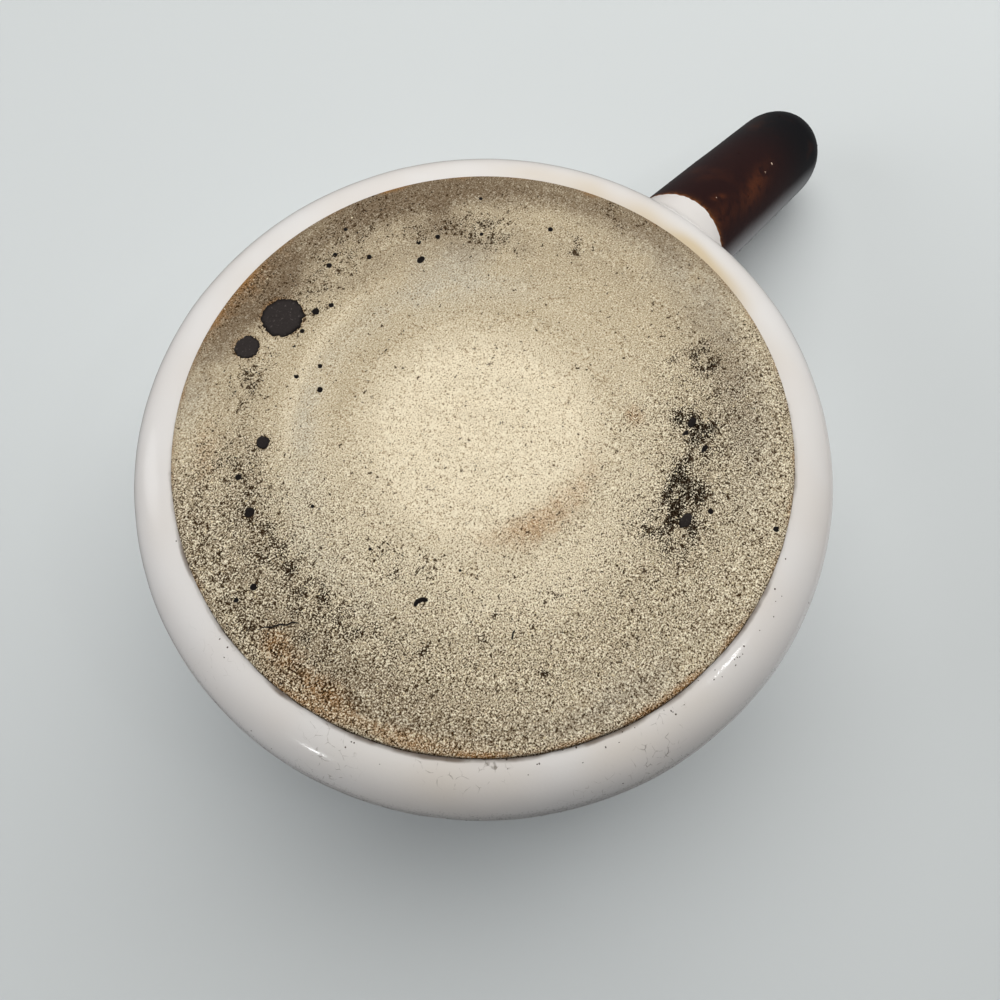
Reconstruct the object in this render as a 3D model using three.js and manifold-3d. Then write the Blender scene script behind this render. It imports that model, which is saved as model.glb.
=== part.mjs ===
// Ceramic fondue pot: a flat-based clay bowl with a stub handle luted to its belly.
// White glaze covers the outside and the lining, and the handle is dipped in brown.
// Millimetres, +Z up, origin at the centre of the bare foot, handle towards +X.
import * as THREE from 'three';
import { mergeVertices } from 'three/addons/utils/BufferGeometryUtils.js';
import Module from 'manifold-3d';

const wasm = await Module();
wasm.setup();

// Bowl, measured over the glaze
const FOOT_RADIUS = 100; // bare clay disc that the pot stands on
const FOOT_STEP = 1.5; // the foot stands this far proud of the heel
const HEEL_OVERHANG = 17.5; // the belly's reach beyond the foot
const BELLY_HEIGHT = 18; // height of the widest point
const RIM_SETBACK = 7.5; // the wall draws in this far from belly to rim
const POT_HEIGHT = 100;
const WALL = 8;
const FLOOR = 10; // height of the inside floor
const CORNER = 16; // inside bend between floor and wall

// Handle, measured over the glaze
const HANDLE_RADIUS = 20.2;
const HANDLE_LENGTH = 130; // from the belly line to the end, along the handle
const HANDLE_END = 24.6; // length of the rounded end
const HANDLE_TILT = THREE.MathUtils.degToRad(23.2); // rise towards the end
const HANDLE_UNDERSIDE = 11; // height of the lowest line of the handle at the belly
const HANDLE_CLAY = 6; // thickness of the cast clay
const DIP_LINE = 3.5; // where the brown begins, from the belly line along the handle

// Slip fillet round the handle's root
const FILLET = 4;
const FILLET_EDGE = 0.4; // thickness that the slip thins out to on the handle

// Glaze coats
const GLAZE = 0.6;
const GAP = 0.3; // clearance between a coat and what it covers, and between two coats

// Facets
const BOWL_SIDES = 60;
const HANDLE_SIDES = 32;
const HEEL_STEPS = 6;
const WALL_STEPS = 6;
const LIP_STEPS = 3; // on each side of the lip's crown
const CORNER_STEPS = 4;
const FILLET_STEPS = 4;
const END_STEPS = 6;
const HALVINGS = 40; // steps of the search for the wall's surface
const SLOPE_PROBE = 1; // distance over which the wall's slope beside the handle is read

// Sizes worked out from those
const COAT = GAP + GLAZE; // clay lies this far under a finished surface
const BELLY_RADIUS = FOOT_RADIUS + HEEL_OVERHANG;
const RIM_RADIUS = BELLY_RADIUS - RIM_SETBACK;
const HEEL_DEPTH = BELLY_HEIGHT - FOOT_STEP;
const LIP_RADIUS = WALL / 2;
const LIP_HEIGHT = POT_HEIGHT - LIP_RADIUS;
const LIP_CENTRE = RIM_RADIUS - LIP_RADIUS;
const INNER_RADIUS = BELLY_RADIUS - WALL;
const CORNER_HEIGHT = FLOOR + CORNER;
const TILT_COS = Math.cos(HANDLE_TILT);
const TILT_SIN = Math.sin(HANDLE_TILT);
const HANDLE_HEIGHT = HANDLE_UNDERSIDE + HANDLE_RADIUS / TILT_COS;
const CORE_RADIUS = HANDLE_RADIUS - COAT;
const CORE_LENGTH = HANDLE_LENGTH - COAT;
const CORE_END = HANDLE_END - COAT;
const COLLAR_BORE = CORE_RADIUS + GAP;
const COLLAR_RADIUS = COLLAR_BORE + FILLET_EDGE + FILLET;
const ROOT_REACH = COLLAR_RADIUS + FILLET; // the root pieces run this far into the bowl before they are cut
const LIP_GAP_ANGLE = GAP / LIP_RADIUS / 2;

const CLAY = new THREE.MeshStandardMaterial({ color: 0xcdbf9f, roughness: 0.95, metalness: 0 });
const SLIP = new THREE.MeshStandardMaterial({ color: 0xd8ccb2, roughness: 0.95, metalness: 0 });
const WHITE = new THREE.MeshStandardMaterial({ color: 0xe9e4da, roughness: 0.15, metalness: 0 });
const LINING = new THREE.MeshStandardMaterial({ color: 0xece6d8, roughness: 0.15, metalness: 0 });
const BROWN = new THREE.MeshStandardMaterial({ color: 0x2e1613, roughness: 0.12, metalness: 0 });

/** A point of a turned outline: distance from the axis, then distance along it. */
const at = (radius, along) => new THREE.Vector2(radius, along);

/** Points along part of an ellipse, from one angle to another. */
function arc(centre, radii, from, to, steps) {
  return new THREE.EllipseCurve(centre.x, centre.y, radii.x, radii.y, from, to, to < from).getPoints(steps);
}

/** The bowl's outside from the heel to the lip's crown, sunk below the finished surface by inset. */
function outsideOutline(inset, crown = Math.PI / 2) {
  const heelCentre = at(FOOT_RADIUS, BELLY_HEIGHT);
  const heelRadii = at(HEEL_OVERHANG - inset, HEEL_DEPTH - inset);
  const heel = arc(heelCentre, heelRadii, -Math.PI / 2, 0, HEEL_STEPS);
  const wall = new THREE.QuadraticBezierCurve(
    at(BELLY_RADIUS - inset, BELLY_HEIGHT),
    at(BELLY_RADIUS - inset, (BELLY_HEIGHT + LIP_HEIGHT) / 2),
    at(RIM_RADIUS - inset, LIP_HEIGHT),
  ).getPoints(WALL_STEPS);
  const lipRadius = LIP_RADIUS - inset;
  const lip = arc(at(LIP_CENTRE, LIP_HEIGHT), at(lipRadius, lipRadius), 0, crown, LIP_STEPS);
  return [...heel, ...wall.slice(1), ...lip.slice(1)];
}

/** The bowl's inside from the lip's crown to the floor's edge, sunk below the finished surface by inset. */
function insideOutline(inset, crown = Math.PI / 2) {
  const lipRadius = LIP_RADIUS - inset;
  const lip = arc(at(LIP_CENTRE, LIP_HEIGHT), at(lipRadius, lipRadius), crown, Math.PI, LIP_STEPS);
  const wall = new THREE.QuadraticBezierCurve(
    at(RIM_RADIUS - WALL + inset, LIP_HEIGHT),
    at(INNER_RADIUS + inset, (CORNER_HEIGHT + LIP_HEIGHT) / 2),
    at(INNER_RADIUS + inset, CORNER_HEIGHT),
  ).getPoints(WALL_STEPS);
  const bendCentre = at(INNER_RADIUS - CORNER, CORNER_HEIGHT);
  const bend = arc(bendCentre, at(CORNER + inset, CORNER + inset), 0, -Math.PI / 2, CORNER_STEPS);
  return [...lip, ...wall.slice(1), ...bend.slice(1)];
}

/** Radius of the bowl's clay at a height between the foot and the lip. */
function clayRadius(height) {
  if (height < BELLY_HEIGHT) {
    const drop = Math.min(1, (BELLY_HEIGHT - height) / (HEEL_DEPTH - COAT));
    return FOOT_RADIUS + (HEEL_OVERHANG - COAT) * Math.sqrt(1 - drop * drop);
  }
  const rise = (height - BELLY_HEIGHT) / (LIP_HEIGHT - BELLY_HEIGHT);
  return BELLY_RADIUS - COAT - RIM_SETBACK * rise * rise;
}

/** An outline turned about +Z, for the bowl. */
function turnedUp(outline) {
  return new THREE.LatheGeometry(outline, BOWL_SIDES).rotateX(Math.PI / 2);
}

/** An outline turned about +X, for the handle in its own frame. */
function turnedAlong(outline) {
  return new THREE.LatheGeometry(outline, HANDLE_SIDES).rotateZ(-Math.PI / 2);
}

/** A closed geometry as a solid that can be joined and cut. */
function solidOf(geometry) {
  const bare = geometry.clone();
  bare.deleteAttribute('normal');
  bare.deleteAttribute('uv');
  const merged = mergeVertices(bare);
  const corners = merged.getIndex().array;
  const triangles = [];
  for (let i = 0; i < corners.length; i += 3) {
    const [a, b, c] = [corners[i], corners[i + 1], corners[i + 2]];
    if (a !== b && b !== c && c !== a) triangles.push(a, b, c);
  }
  return new wasm.Manifold(new wasm.Mesh({
    numProp: 3,
    vertProperties: new Float32Array(merged.getAttribute('position').array),
    triVerts: new Uint32Array(triangles),
  }));
}

/** A solid as a geometry again. */
function geometryOf(solid) {
  const { vertProperties, triVerts, numProp } = solid.getMesh();
  const indexed = new THREE.BufferGeometry();
  const data = new THREE.InterleavedBuffer(vertProperties, numProp);
  indexed.setAttribute('position', new THREE.InterleavedBufferAttribute(data, 3, 0));
  indexed.setIndex(new THREE.BufferAttribute(triVerts, 1));
  const flat = indexed.toNonIndexed();
  flat.computeVertexNormals();
  return flat;
}

/** The bowl filled in, with its outside sunk below the finished surface by inset. */
function filledBowl(inset) {
  const outside = outsideOutline(inset);
  const top = outside[outside.length - 1].y;
  return solidOf(turnedUp([at(0, outside[0].y), ...outside, at(0, top)]));
}

/** The handle's outline from root to end, swollen past its clay by grow. */
function handleOutline(grow) {
  const radius = CORE_RADIUS + grow;
  const end = arc(at(0, CORE_LENGTH - CORE_END), at(radius, CORE_END + grow), 0, Math.PI / 2, END_STEPS);
  return [at(radius, -ROOT_REACH), ...end];
}

/** How far along the handle a line at side y and lift n leaves the bowl's clay. */
function wallReach(y, n) {
  let low = -ROOT_REACH;
  let high = ROOT_REACH;
  for (let i = 0; i < HALVINGS; i += 1) {
    const along = (low + high) / 2;
    const x = BELLY_RADIUS + along * TILT_COS - n * TILT_SIN;
    const height = HANDLE_HEIGHT + along * TILT_SIN + n * TILT_COS;
    if (Math.hypot(x, y) < clayRadius(height)) low = along;
    else high = along;
  }
  return low;
}

/** The slip fillet's outline, swollen past its own surface by grow, around a bore of the given radius. */
function filletOutline(grow, bore) {
  const hollow = arc(at(COLLAR_RADIUS, FILLET), at(FILLET - grow, FILLET - grow), -Math.PI / 2, -Math.PI,
    FILLET_STEPS);
  const root = at(COLLAR_RADIUS, -FILLET);
  const edge = at(COLLAR_RADIUS - FILLET + grow, FILLET + grow);
  return [at(bore, -FILLET), root, ...hollow, edge, at(bore, edge.y), at(bore, -FILLET)];
}

/** A turned fillet leant over, point by point, so that its foot follows the bowl's wall. */
function seatedOnWall(geometry) {
  const points = geometry.getAttribute('position');
  for (let i = 0; i < points.count; i += 1) {
    const radius = Math.hypot(points.getY(i), points.getZ(i));
    const [y, n] = [points.getY(i) / radius, points.getZ(i) / radius];
    const reach = wallReach(COLLAR_BORE * y, COLLAR_BORE * n);
    const further = wallReach((COLLAR_BORE + SLOPE_PROBE) * y, (COLLAR_BORE + SLOPE_PROBE) * n);
    const slope = (further - reach) / SLOPE_PROBE;
    const spread = (radius - COLLAR_BORE) / Math.hypot(1, slope);
    const seated = COLLAR_BORE + spread;
    points.setXYZ(i, points.getX(i) + reach + spread * slope, seated * y, seated * n);
  }
  return geometry;
}

/** The handle and its fillet filled in, in the handle's frame, swollen past their clay by grow. */
function filledHandle(grow) {
  const outline = handleOutline(grow);
  const stub = solidOf(turnedAlong([at(0, -ROOT_REACH), ...outline]));
  const fillet = solidOf(seatedOnWall(turnedAlong(filletOutline(grow, CORE_RADIUS - HANDLE_CLAY))));
  return stub.add(fillet);
}

/** All that lies beyond a distance along the handle, in the handle's frame. */
function beyond(along) {
  const size = 2 * (HANDLE_LENGTH + BELLY_RADIUS);
  return solidOf(new THREE.BoxGeometry(size, size, size).translate(along + size / 2, 0, 0));
}

/** The bowl's clay. */
function potBody() {
  const outside = outsideOutline(COAT);
  const inside = insideOutline(COAT);
  return turnedUp([
    at(0, 0),
    at(FOOT_RADIUS, 0),
    ...outside,
    ...inside.slice(1),
    at(0, FLOOR - COAT),
  ]);
}

/** The glaze lining, from the lip's crown to the middle of the floor. */
function innerGlaze() {
  const crown = Math.PI / 2 + LIP_GAP_ANGLE;
  const under = insideOutline(GLAZE, crown);
  return turnedUp([at(0, FLOOR - GLAZE), ...under.reverse(), ...insideOutline(0, crown), at(0, FLOOR)]);
}

/** The hollow clay handle, its root cut to the bowl's wall. */
function handleCore(bowlInHandleFrame) {
  const cavityRadius = CORE_RADIUS - HANDLE_CLAY;
  const cavityEnd = arc(at(0, CORE_LENGTH - CORE_END), at(cavityRadius, CORE_END - HANDLE_CLAY),
    Math.PI / 2, 0, END_STEPS);
  const cast = turnedAlong([...cavityEnd, at(cavityRadius, -ROOT_REACH), ...handleOutline(0)]);
  return geometryOf(solidOf(cast).subtract(bowlInHandleFrame(COAT - GAP)));
}

/** The slip fillet round the handle's root. */
function lutingCollar(bowlInHandleFrame) {
  const ring = solidOf(seatedOnWall(turnedAlong(filletOutline(0, COLLAR_BORE))));
  return geometryOf(ring.subtract(bowlInHandleFrame(COAT - GAP)));
}

/** The brown coat, from the dip line to the handle's end. */
function handleGlaze(bowlInHandleFrame) {
  const coat = filledHandle(COAT).subtract(filledHandle(GAP));
  return geometryOf(coat.intersect(beyond(DIP_LINE + GAP / 2)).subtract(bowlInHandleFrame(-GAP)));
}

/** The white coat of the bowl's outside, with the sleeve that it leaves on the handle's root. */
function outerGlaze(handleMatrix) {
  const crown = Math.PI / 2 - LIP_GAP_ANGLE;
  const under = outsideOutline(GLAZE, crown).reverse();
  const skin = outsideOutline(0, crown);
  const footEdge = FOOT_RADIUS + GAP;
  skin[0].x = footEdge;
  under[under.length - 1].x = footEdge;
  const bowlCoat = solidOf(turnedUp([...skin, ...under, skin[0].clone()]));
  const matrix = handleMatrix.toArray();
  const sleeve = filledHandle(COAT).subtract(beyond(DIP_LINE - GAP / 2)).transform(matrix);
  const root = filledHandle(GAP).transform(matrix);
  return geometryOf(bowlCoat.add(sleeve.subtract(filledBowl(GLAZE))).subtract(root));
}

/** A named mesh added to a group. */
function place(group, name, geometry, material) {
  const mesh = new THREE.Mesh(geometry, material);
  mesh.name = name;
  group.add(mesh);
}

const pot = new THREE.Group();
const handle = new THREE.Group();
handle.position.set(BELLY_RADIUS, 0, HANDLE_HEIGHT);
handle.rotation.y = -HANDLE_TILT;
handle.updateMatrix();
pot.add(handle);

const toHandleFrame = handle.matrix.clone().invert().toArray();
const bowlInHandleFrame = (inset) => filledBowl(inset).transform(toHandleFrame);

place(pot, 'pot_body', potBody(), CLAY);
place(pot, 'outer_glaze', outerGlaze(handle.matrix), WHITE);
place(pot, 'inner_glaze', innerGlaze(), LINING);
place(handle, 'handle_core', handleCore(bowlInHandleFrame), CLAY);
place(handle, 'luting_collar', lutingCollar(bowlInHandleFrame), SLIP);
place(handle, 'handle_glaze', handleGlaze(bowlInHandleFrame), BROWN);

export default pot;
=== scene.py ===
"""Looks of the ceramic fondue pot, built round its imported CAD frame.

The bowl stands upright on its bare foot with the handle towards +X, and the camera
looks up at the foot, as the photograph shows the pot turned over on its rim.
Sizes are in millimetres until a mesh is made, and metres after that.
"""

import logging
import math
from dataclasses import dataclass, field
from enum import Enum

import bmesh
import bpy
import numpy as np
from mathutils import Matrix, Vector


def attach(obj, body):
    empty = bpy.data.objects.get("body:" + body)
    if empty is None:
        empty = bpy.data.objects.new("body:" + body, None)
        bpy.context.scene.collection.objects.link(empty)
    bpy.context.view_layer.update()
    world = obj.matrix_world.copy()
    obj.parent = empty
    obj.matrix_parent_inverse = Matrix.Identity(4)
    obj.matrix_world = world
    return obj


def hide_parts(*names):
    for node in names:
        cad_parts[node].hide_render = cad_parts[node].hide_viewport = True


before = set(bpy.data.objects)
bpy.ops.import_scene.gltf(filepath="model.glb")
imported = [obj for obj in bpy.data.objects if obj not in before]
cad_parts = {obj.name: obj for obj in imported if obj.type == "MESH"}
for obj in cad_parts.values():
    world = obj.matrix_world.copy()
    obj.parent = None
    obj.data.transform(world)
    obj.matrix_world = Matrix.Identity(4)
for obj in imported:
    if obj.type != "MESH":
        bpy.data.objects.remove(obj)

log = logging.getLogger("fondue_pot")

MM = 0.001
ROOT_BODY = "root"
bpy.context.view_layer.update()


# Small tools


def linear(colour: str) -> tuple[float, float, float, float]:
    """Turn an sRGB hex colour to linear light.

    Args:
        colour: six hex digits after a hash sign.

    Returns:
        Red, green, blue and an alpha of one.
    """
    parts = [int(colour[i : i + 2], 16) / 255 for i in (1, 3, 5)]
    light = [c / 12.92 if c <= 0.04045 else ((c + 0.055) / 1.055) ** 2.4 for c in parts]
    return (light[0], light[1], light[2], 1.0)


def per_metre(millimetres: float) -> float:
    """Scale of a texture whose grain has this size."""
    return 1 / (millimetres * MM)


def fill(tree: bpy.types.NodeTree, node: bpy.types.Node, inputs: dict) -> None:
    """Give a node's inputs their values and links.

    Args:
        tree: tree that holds the node.
        node: the node.
        inputs: value or output socket for each input, by name or number.
    """
    for key, value in inputs.items():
        if isinstance(value, bpy.types.NodeSocket):
            tree.links.new(value, node.inputs[key])
        else:
            node.inputs[key].default_value = value


def add(
    tree: bpy.types.NodeTree, kind: str, inputs: dict | None = None, **settings: object
) -> bpy.types.Node:
    """Add one node with its settings, values and links.

    Args:
        tree: tree that gets the node.
        kind: Blender's name of the node.
        inputs: value or output socket for each input, by name or number.
        settings: properties of the node.

    Returns:
        The new node.
    """
    made = tree.nodes.new(kind)
    for name, value in settings.items():
        setattr(made, name, value)
    fill(tree, made, inputs or {})
    return made


def ripple(points: np.ndarray, wavelength: float, seed: int, waves: int = 28) -> np.ndarray:
    """Smooth random heights with a mean of nought and a spread of one.

    Args:
        points: places, one row each, in millimetres.
        wavelength: usual distance between crests.
        seed: fixes the draw.
        waves: number of sines that are summed.

    Returns:
        One height for each place.
    """
    draw = np.random.default_rng(seed)
    heading = draw.normal(size=(waves, points.shape[-1]))
    heading /= np.linalg.norm(heading, axis=1)[:, None]
    pace = 2 * math.pi / wavelength * draw.uniform(0.7, 1.4, waves)
    phase = draw.uniform(0, 2 * math.pi, waves)
    swell = np.zeros(points.shape[:-1])
    for way, step, start in zip(heading, pace, phase):
        swell += np.sin(points @ way * step + start)
    return swell * math.sqrt(2 / waves)


def uneven(points: np.ndarray, *swells: tuple[float, float, int]) -> np.ndarray:
    """Sum of ripples, each by its height, its wavelength and its seed."""
    return sum(height * ripple(points, wavelength, seed) for height, wavelength, seed in swells)


def ease(value: np.ndarray, low: float, high: float) -> np.ndarray:
    """Smooth step from nought at low to one at high."""
    t = np.clip((value - low) / (high - low), 0, 1)
    return t * t * (3 - 2 * t)


def ring_angles(count: int) -> np.ndarray:
    """Angles of some places that are spread evenly round a ring."""
    return np.linspace(0, 2 * math.pi, count, endpoint=False)


def spokes(angles: np.ndarray) -> np.ndarray:
    """Cosine and sine of each angle, side by side."""
    return np.column_stack([np.cos(angles), np.sin(angles)])


def skin(rings: np.ndarray, closed: bool, poles: tuple = (None, None)) -> tuple[np.ndarray, list]:
    """Join rings of points into a surface.

    Args:
        rings: ring, place on the ring, then x, y and z, in millimetres.
        closed: whether the last ring joins the first.
        poles: points that close the first and last ring, if any.

    Returns:
        The points and the faces.
    """
    count, around = rings.shape[:2]
    points = rings.reshape(-1, 3)
    here = np.arange(around)
    after = np.roll(here, -1)
    faces: list = []
    for ring in range(count if closed else count - 1):
        low = ring * around
        high = (ring + 1) % count * around
        faces += np.stack([low + here, low + after, high + after, high + here], 1).tolist()
    for pole, ring in zip(poles, (0, count - 1)):
        if pole is None:
            continue
        low = ring * around
        tip = np.full(around, len(points))
        faces += np.stack([low + here, low + after, tip], 1).tolist()
        points = np.vstack([points, pole])
    return points, faces


def placed(name: str, data: bpy.types.ID) -> bpy.types.Object:
    """Put a mesh, a lamp or a camera into the scene.

    Args:
        name: name of the object.
        data: what the object holds.

    Returns:
        The new object, at the origin.
    """
    made = bpy.data.objects.new(name, data)
    bpy.context.scene.collection.objects.link(made)
    return made


def mesh_piece(name: str, parts: list, crease: float = 40.0) -> bpy.types.Object:
    """Make one object of closed surfaces, smooth but for its creases.

    Args:
        name: name of the piece.
        parts: points and faces of each surface, in millimetres.
        crease: angle in degrees above which an edge stays sharp.

    Returns:
        The new object, at the origin.
    """
    points: list = []
    faces: list = []
    for own_points, own_faces in parts:
        start = len(points)
        points += (np.asarray(own_points) * MM).tolist()
        faces += [[corner + start for corner in face] for face in own_faces]
    mesh = bpy.data.meshes.new(name)
    mesh.from_pydata(points, [], faces)
    shape = bmesh.new()
    shape.from_mesh(mesh)
    bmesh.ops.recalc_face_normals(shape, faces=shape.faces)
    shape.to_mesh(mesh)
    shape.free()
    mesh.shade_smooth()
    mesh.set_sharp_from_angle(angle=math.radians(crease))
    return placed(name, mesh)


def paint(piece: bpy.types.Object, name: str, values: np.ndarray) -> None:
    """Store one number for each point of a piece.

    Args:
        piece: object that gets the attribute.
        name: name of the attribute.
        values: a number for each point, or for the first of them.
    """
    whole = np.zeros(len(piece.data.vertices), np.float32)
    whole[: len(values)] = values
    piece.data.attributes.new(name, "FLOAT", "POINT").data.foreach_set("value", whole)


def settle(piece: bpy.types.Object, slot: str, material: bpy.types.Material, *nodes: str) -> None:
    """Give a finished piece its material and its body, and hide the CAD nodes that it stands for.

    Args:
        piece: the finished object.
        slot: not used.
        material: finish of the piece.
        nodes: CAD nodes that it stands for.
    """
    piece.data.materials.clear()
    piece.data.materials.append(material)
    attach(piece, ROOT_BODY)
    if nodes:
        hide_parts(*nodes)
    log.info("%s: %d faces", piece.name, len(piece.data.polygons))


# Camera


@dataclass(frozen=True)
class PhotoCamera:
    """Camera fitted to the photograph, in a frame with the foot at z = 0 facing up."""

    distance: float = 274.64
    elevation: float = 1.17847
    pan: float = 0.01607
    tilt: float = -0.07846
    roll: float = -0.04735
    focal_px: float = 850.0
    image_px: float = 1000.0
    sensor: float = 36.0
    handle_bearing: float = math.radians(49.15)

    def axes(self) -> tuple[np.ndarray, np.ndarray, np.ndarray, np.ndarray]:
        """Eye, right, up and forward in the photograph's frame."""
        eye = self.distance * np.array([0, -math.cos(self.elevation), math.sin(self.elevation)])
        forward = -eye / np.linalg.norm(eye)
        right = np.array([1.0, 0, 0])
        up = np.cross(right, forward)
        forward = forward + self.pan * right + self.tilt * up
        forward /= np.linalg.norm(forward)
        right = np.cross(forward, up)
        right /= np.linalg.norm(right)
        up = np.cross(right, forward)
        c, s = math.cos(self.roll), math.sin(self.roll)
        return eye, c * right + s * up, c * up - s * right, forward

    def to_part(self, vectors: np.ndarray) -> np.ndarray:
        """Turn vectors of the photograph's frame into the part's frame.

        Args:
            vectors: x, y and z in the last axis.

        Returns:
            The same vectors with the pot upright and the handle along +X.
        """
        x, y, z = np.moveaxis(np.asarray(vectors, float), -1, 0)
        c, s = math.cos(self.handle_bearing), math.sin(self.handle_bearing)
        return np.stack([c * x + s * y, s * x - c * y, -z], -1)

    def on_foot(self, across: float, down: float) -> np.ndarray:
        """Place on the foot's plane that shows at a pixel.

        Args:
            across: pixels from the left edge.
            down: pixels from the top edge.

        Returns:
            x and y in the part's frame, in millimetres.
        """
        eye, right, up, forward = self.axes()
        half = self.image_px / 2
        ray = forward + (across - half) / self.focal_px * right - (down - half) / self.focal_px * up
        return self.to_part(eye - ray * eye[2] / ray[2])[:2]

    def pixels(self, points: np.ndarray) -> np.ndarray:
        """Pixels at which points of the part show.

        Args:
            points: places in the part's frame, in millimetres.

        Returns:
            Pixels across and down.
        """
        eye, right, up, forward = (self.to_part(v) for v in self.axes())
        sight = points - eye
        depth = sight @ forward
        half = self.image_px / 2
        across = half + self.focal_px * (sight @ right) / depth
        return np.stack([across, half - self.focal_px * (sight @ up) / depth], -1)

    def strike(self, piece: bpy.types.Object, across: float, down: float) -> tuple[Vector, Vector, Vector]:
        """Where the sight through a pixel meets a piece.

        Args:
            piece: object that is seen there.
            across: pixels from the left edge.
            down: pixels from the top edge.

        Returns:
            The place in metres, the way that it faces, and the way of the sight.

        Raises:
            ValueError: the sight misses the piece.
        """
        eye = Vector(self.to_part(self.axes()[0])) * MM
        seen = Vector((*(self.on_foot(across, down) * MM), 0.0))
        sight = (seen - eye).normalized()
        struck, where, facing, _ = piece.ray_cast(eye, sight)
        if not struck:
            raise ValueError(f"{piece.name} isn't seen at {across}, {down}")
        return where, facing, sight

    def place(self) -> None:
        """Make the scene's camera."""
        eye, right, up, forward = (Vector(self.to_part(v)) for v in self.axes())
        data = bpy.data.cameras.new("photo_camera")
        data.sensor_width = self.sensor
        data.lens = self.focal_px * self.sensor / self.image_px
        camera = placed("photo_camera", data)
        turn = Matrix((right, up, -forward)).transposed().to_4x4()
        camera.matrix_world = Matrix.Translation(eye * MM) @ turn
        bpy.context.scene.camera = camera


# Finishes


def new_material(name: str) -> tuple[bpy.types.Material, bpy.types.NodeTree, bpy.types.Node]:
    """An empty material with a Principled shader.

    Args:
        name: name of the material.

    Returns:
        The material, its tree and its shader.
    """
    material = bpy.data.materials.new(name)
    material.use_nodes = True
    tree = material.node_tree
    tree.nodes.clear()
    shader = add(tree, "ShaderNodeBsdfPrincipled")
    add(tree, "ShaderNodeOutputMaterial", {"Surface": shader.outputs[0]})
    return material, tree, shader


@dataclass(frozen=True)
class Layer:
    """A colour that covers what lies under it as a mask goes from low to high.

    A mask is the name of one, or a sum of some by name and weight. The most that the layer
    covers is a number or a mask.
    """

    colour: str
    mask: str | dict
    low: float
    high: float
    most: float | str | dict = 1.0


@dataclass
class Recipe:
    """A material in the making, with the masks and noises that its colours follow."""

    name: str
    masks: tuple
    grains: dict
    noise: dict
    material: bpy.types.Material = field(init=False)
    tree: bpy.types.NodeTree = field(init=False)
    shader: bpy.types.Node = field(init=False)
    place: bpy.types.NodeSocket = field(init=False)
    read: dict = field(init=False)

    def __post_init__(self) -> None:
        """Start the material, and read the piece's painted masks and noises on its Object coordinates."""
        self.material, self.tree, self.shader = new_material(self.name)
        self.place = add(self.tree, "ShaderNodeTexCoord").outputs["Object"]
        self.read = {}
        for mask in self.masks:
            self.read[mask] = add(self.tree, "ShaderNodeAttribute", attribute_name=mask).outputs["Fac"]
        for grain, size in self.grains.items():
            inputs = {"Vector": self.place, "Scale": per_metre(size), **self.noise}
            self.read[grain] = add(self.tree, "ShaderNodeTexNoise", inputs).outputs["Fac"]

    def weigh(self, mask: float | str | dict) -> float | bpy.types.NodeSocket:
        """Turn a mask into what a socket takes.

        Args:
            mask: a number, a mask's name, or a sum of masks by name and weight.

        Returns:
            The number, or the socket that gives the mask.
        """
        if isinstance(mask, str):
            return self.read[mask]
        if not isinstance(mask, dict):
            return mask
        total = 0.0
        for name, weight in mask.items():
            inputs = {0: self.read[name], 1: self.weigh(weight), 2: total}
            total = add(self.tree, "ShaderNodeMath", inputs, operation="MULTIPLY_ADD").outputs[0]
        return total

    def finish(self, ground: str, layers: tuple, relief: tuple, sockets: dict) -> bpy.types.Material:
        """Lay the colours over each other, lift the skin and set the shader.

        Args:
            ground: lowest colour.
            layers: what covers it, in order.
            relief: mask that lifts the skin, its strength, and its height in millimetres.
            sockets: what the shader's other sockets take.

        Returns:
            The finished material.
        """
        under = linear(ground)
        for layer in layers:
            inputs = {0: self.weigh(layer.mask), 1: layer.low, 2: layer.high, 4: self.weigh(layer.most)}
            share = add(self.tree, "ShaderNodeMapRange", inputs, interpolation_type="SMOOTHSTEP").outputs[0]
            inputs = {0: share, 6: under, 7: linear(layer.colour)}
            under = add(self.tree, "ShaderNodeMix", inputs, data_type="RGBA").outputs[2]
        mask, strength, height = relief
        inputs = {"Height": self.weigh(mask), "Strength": strength, "Distance": height * MM}
        lifted = add(self.tree, "ShaderNodeBump", inputs).outputs[0]
        fill(self.tree, self.shader, {"Base Color": under, "Normal": lifted, **sockets})
        return self.material


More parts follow.
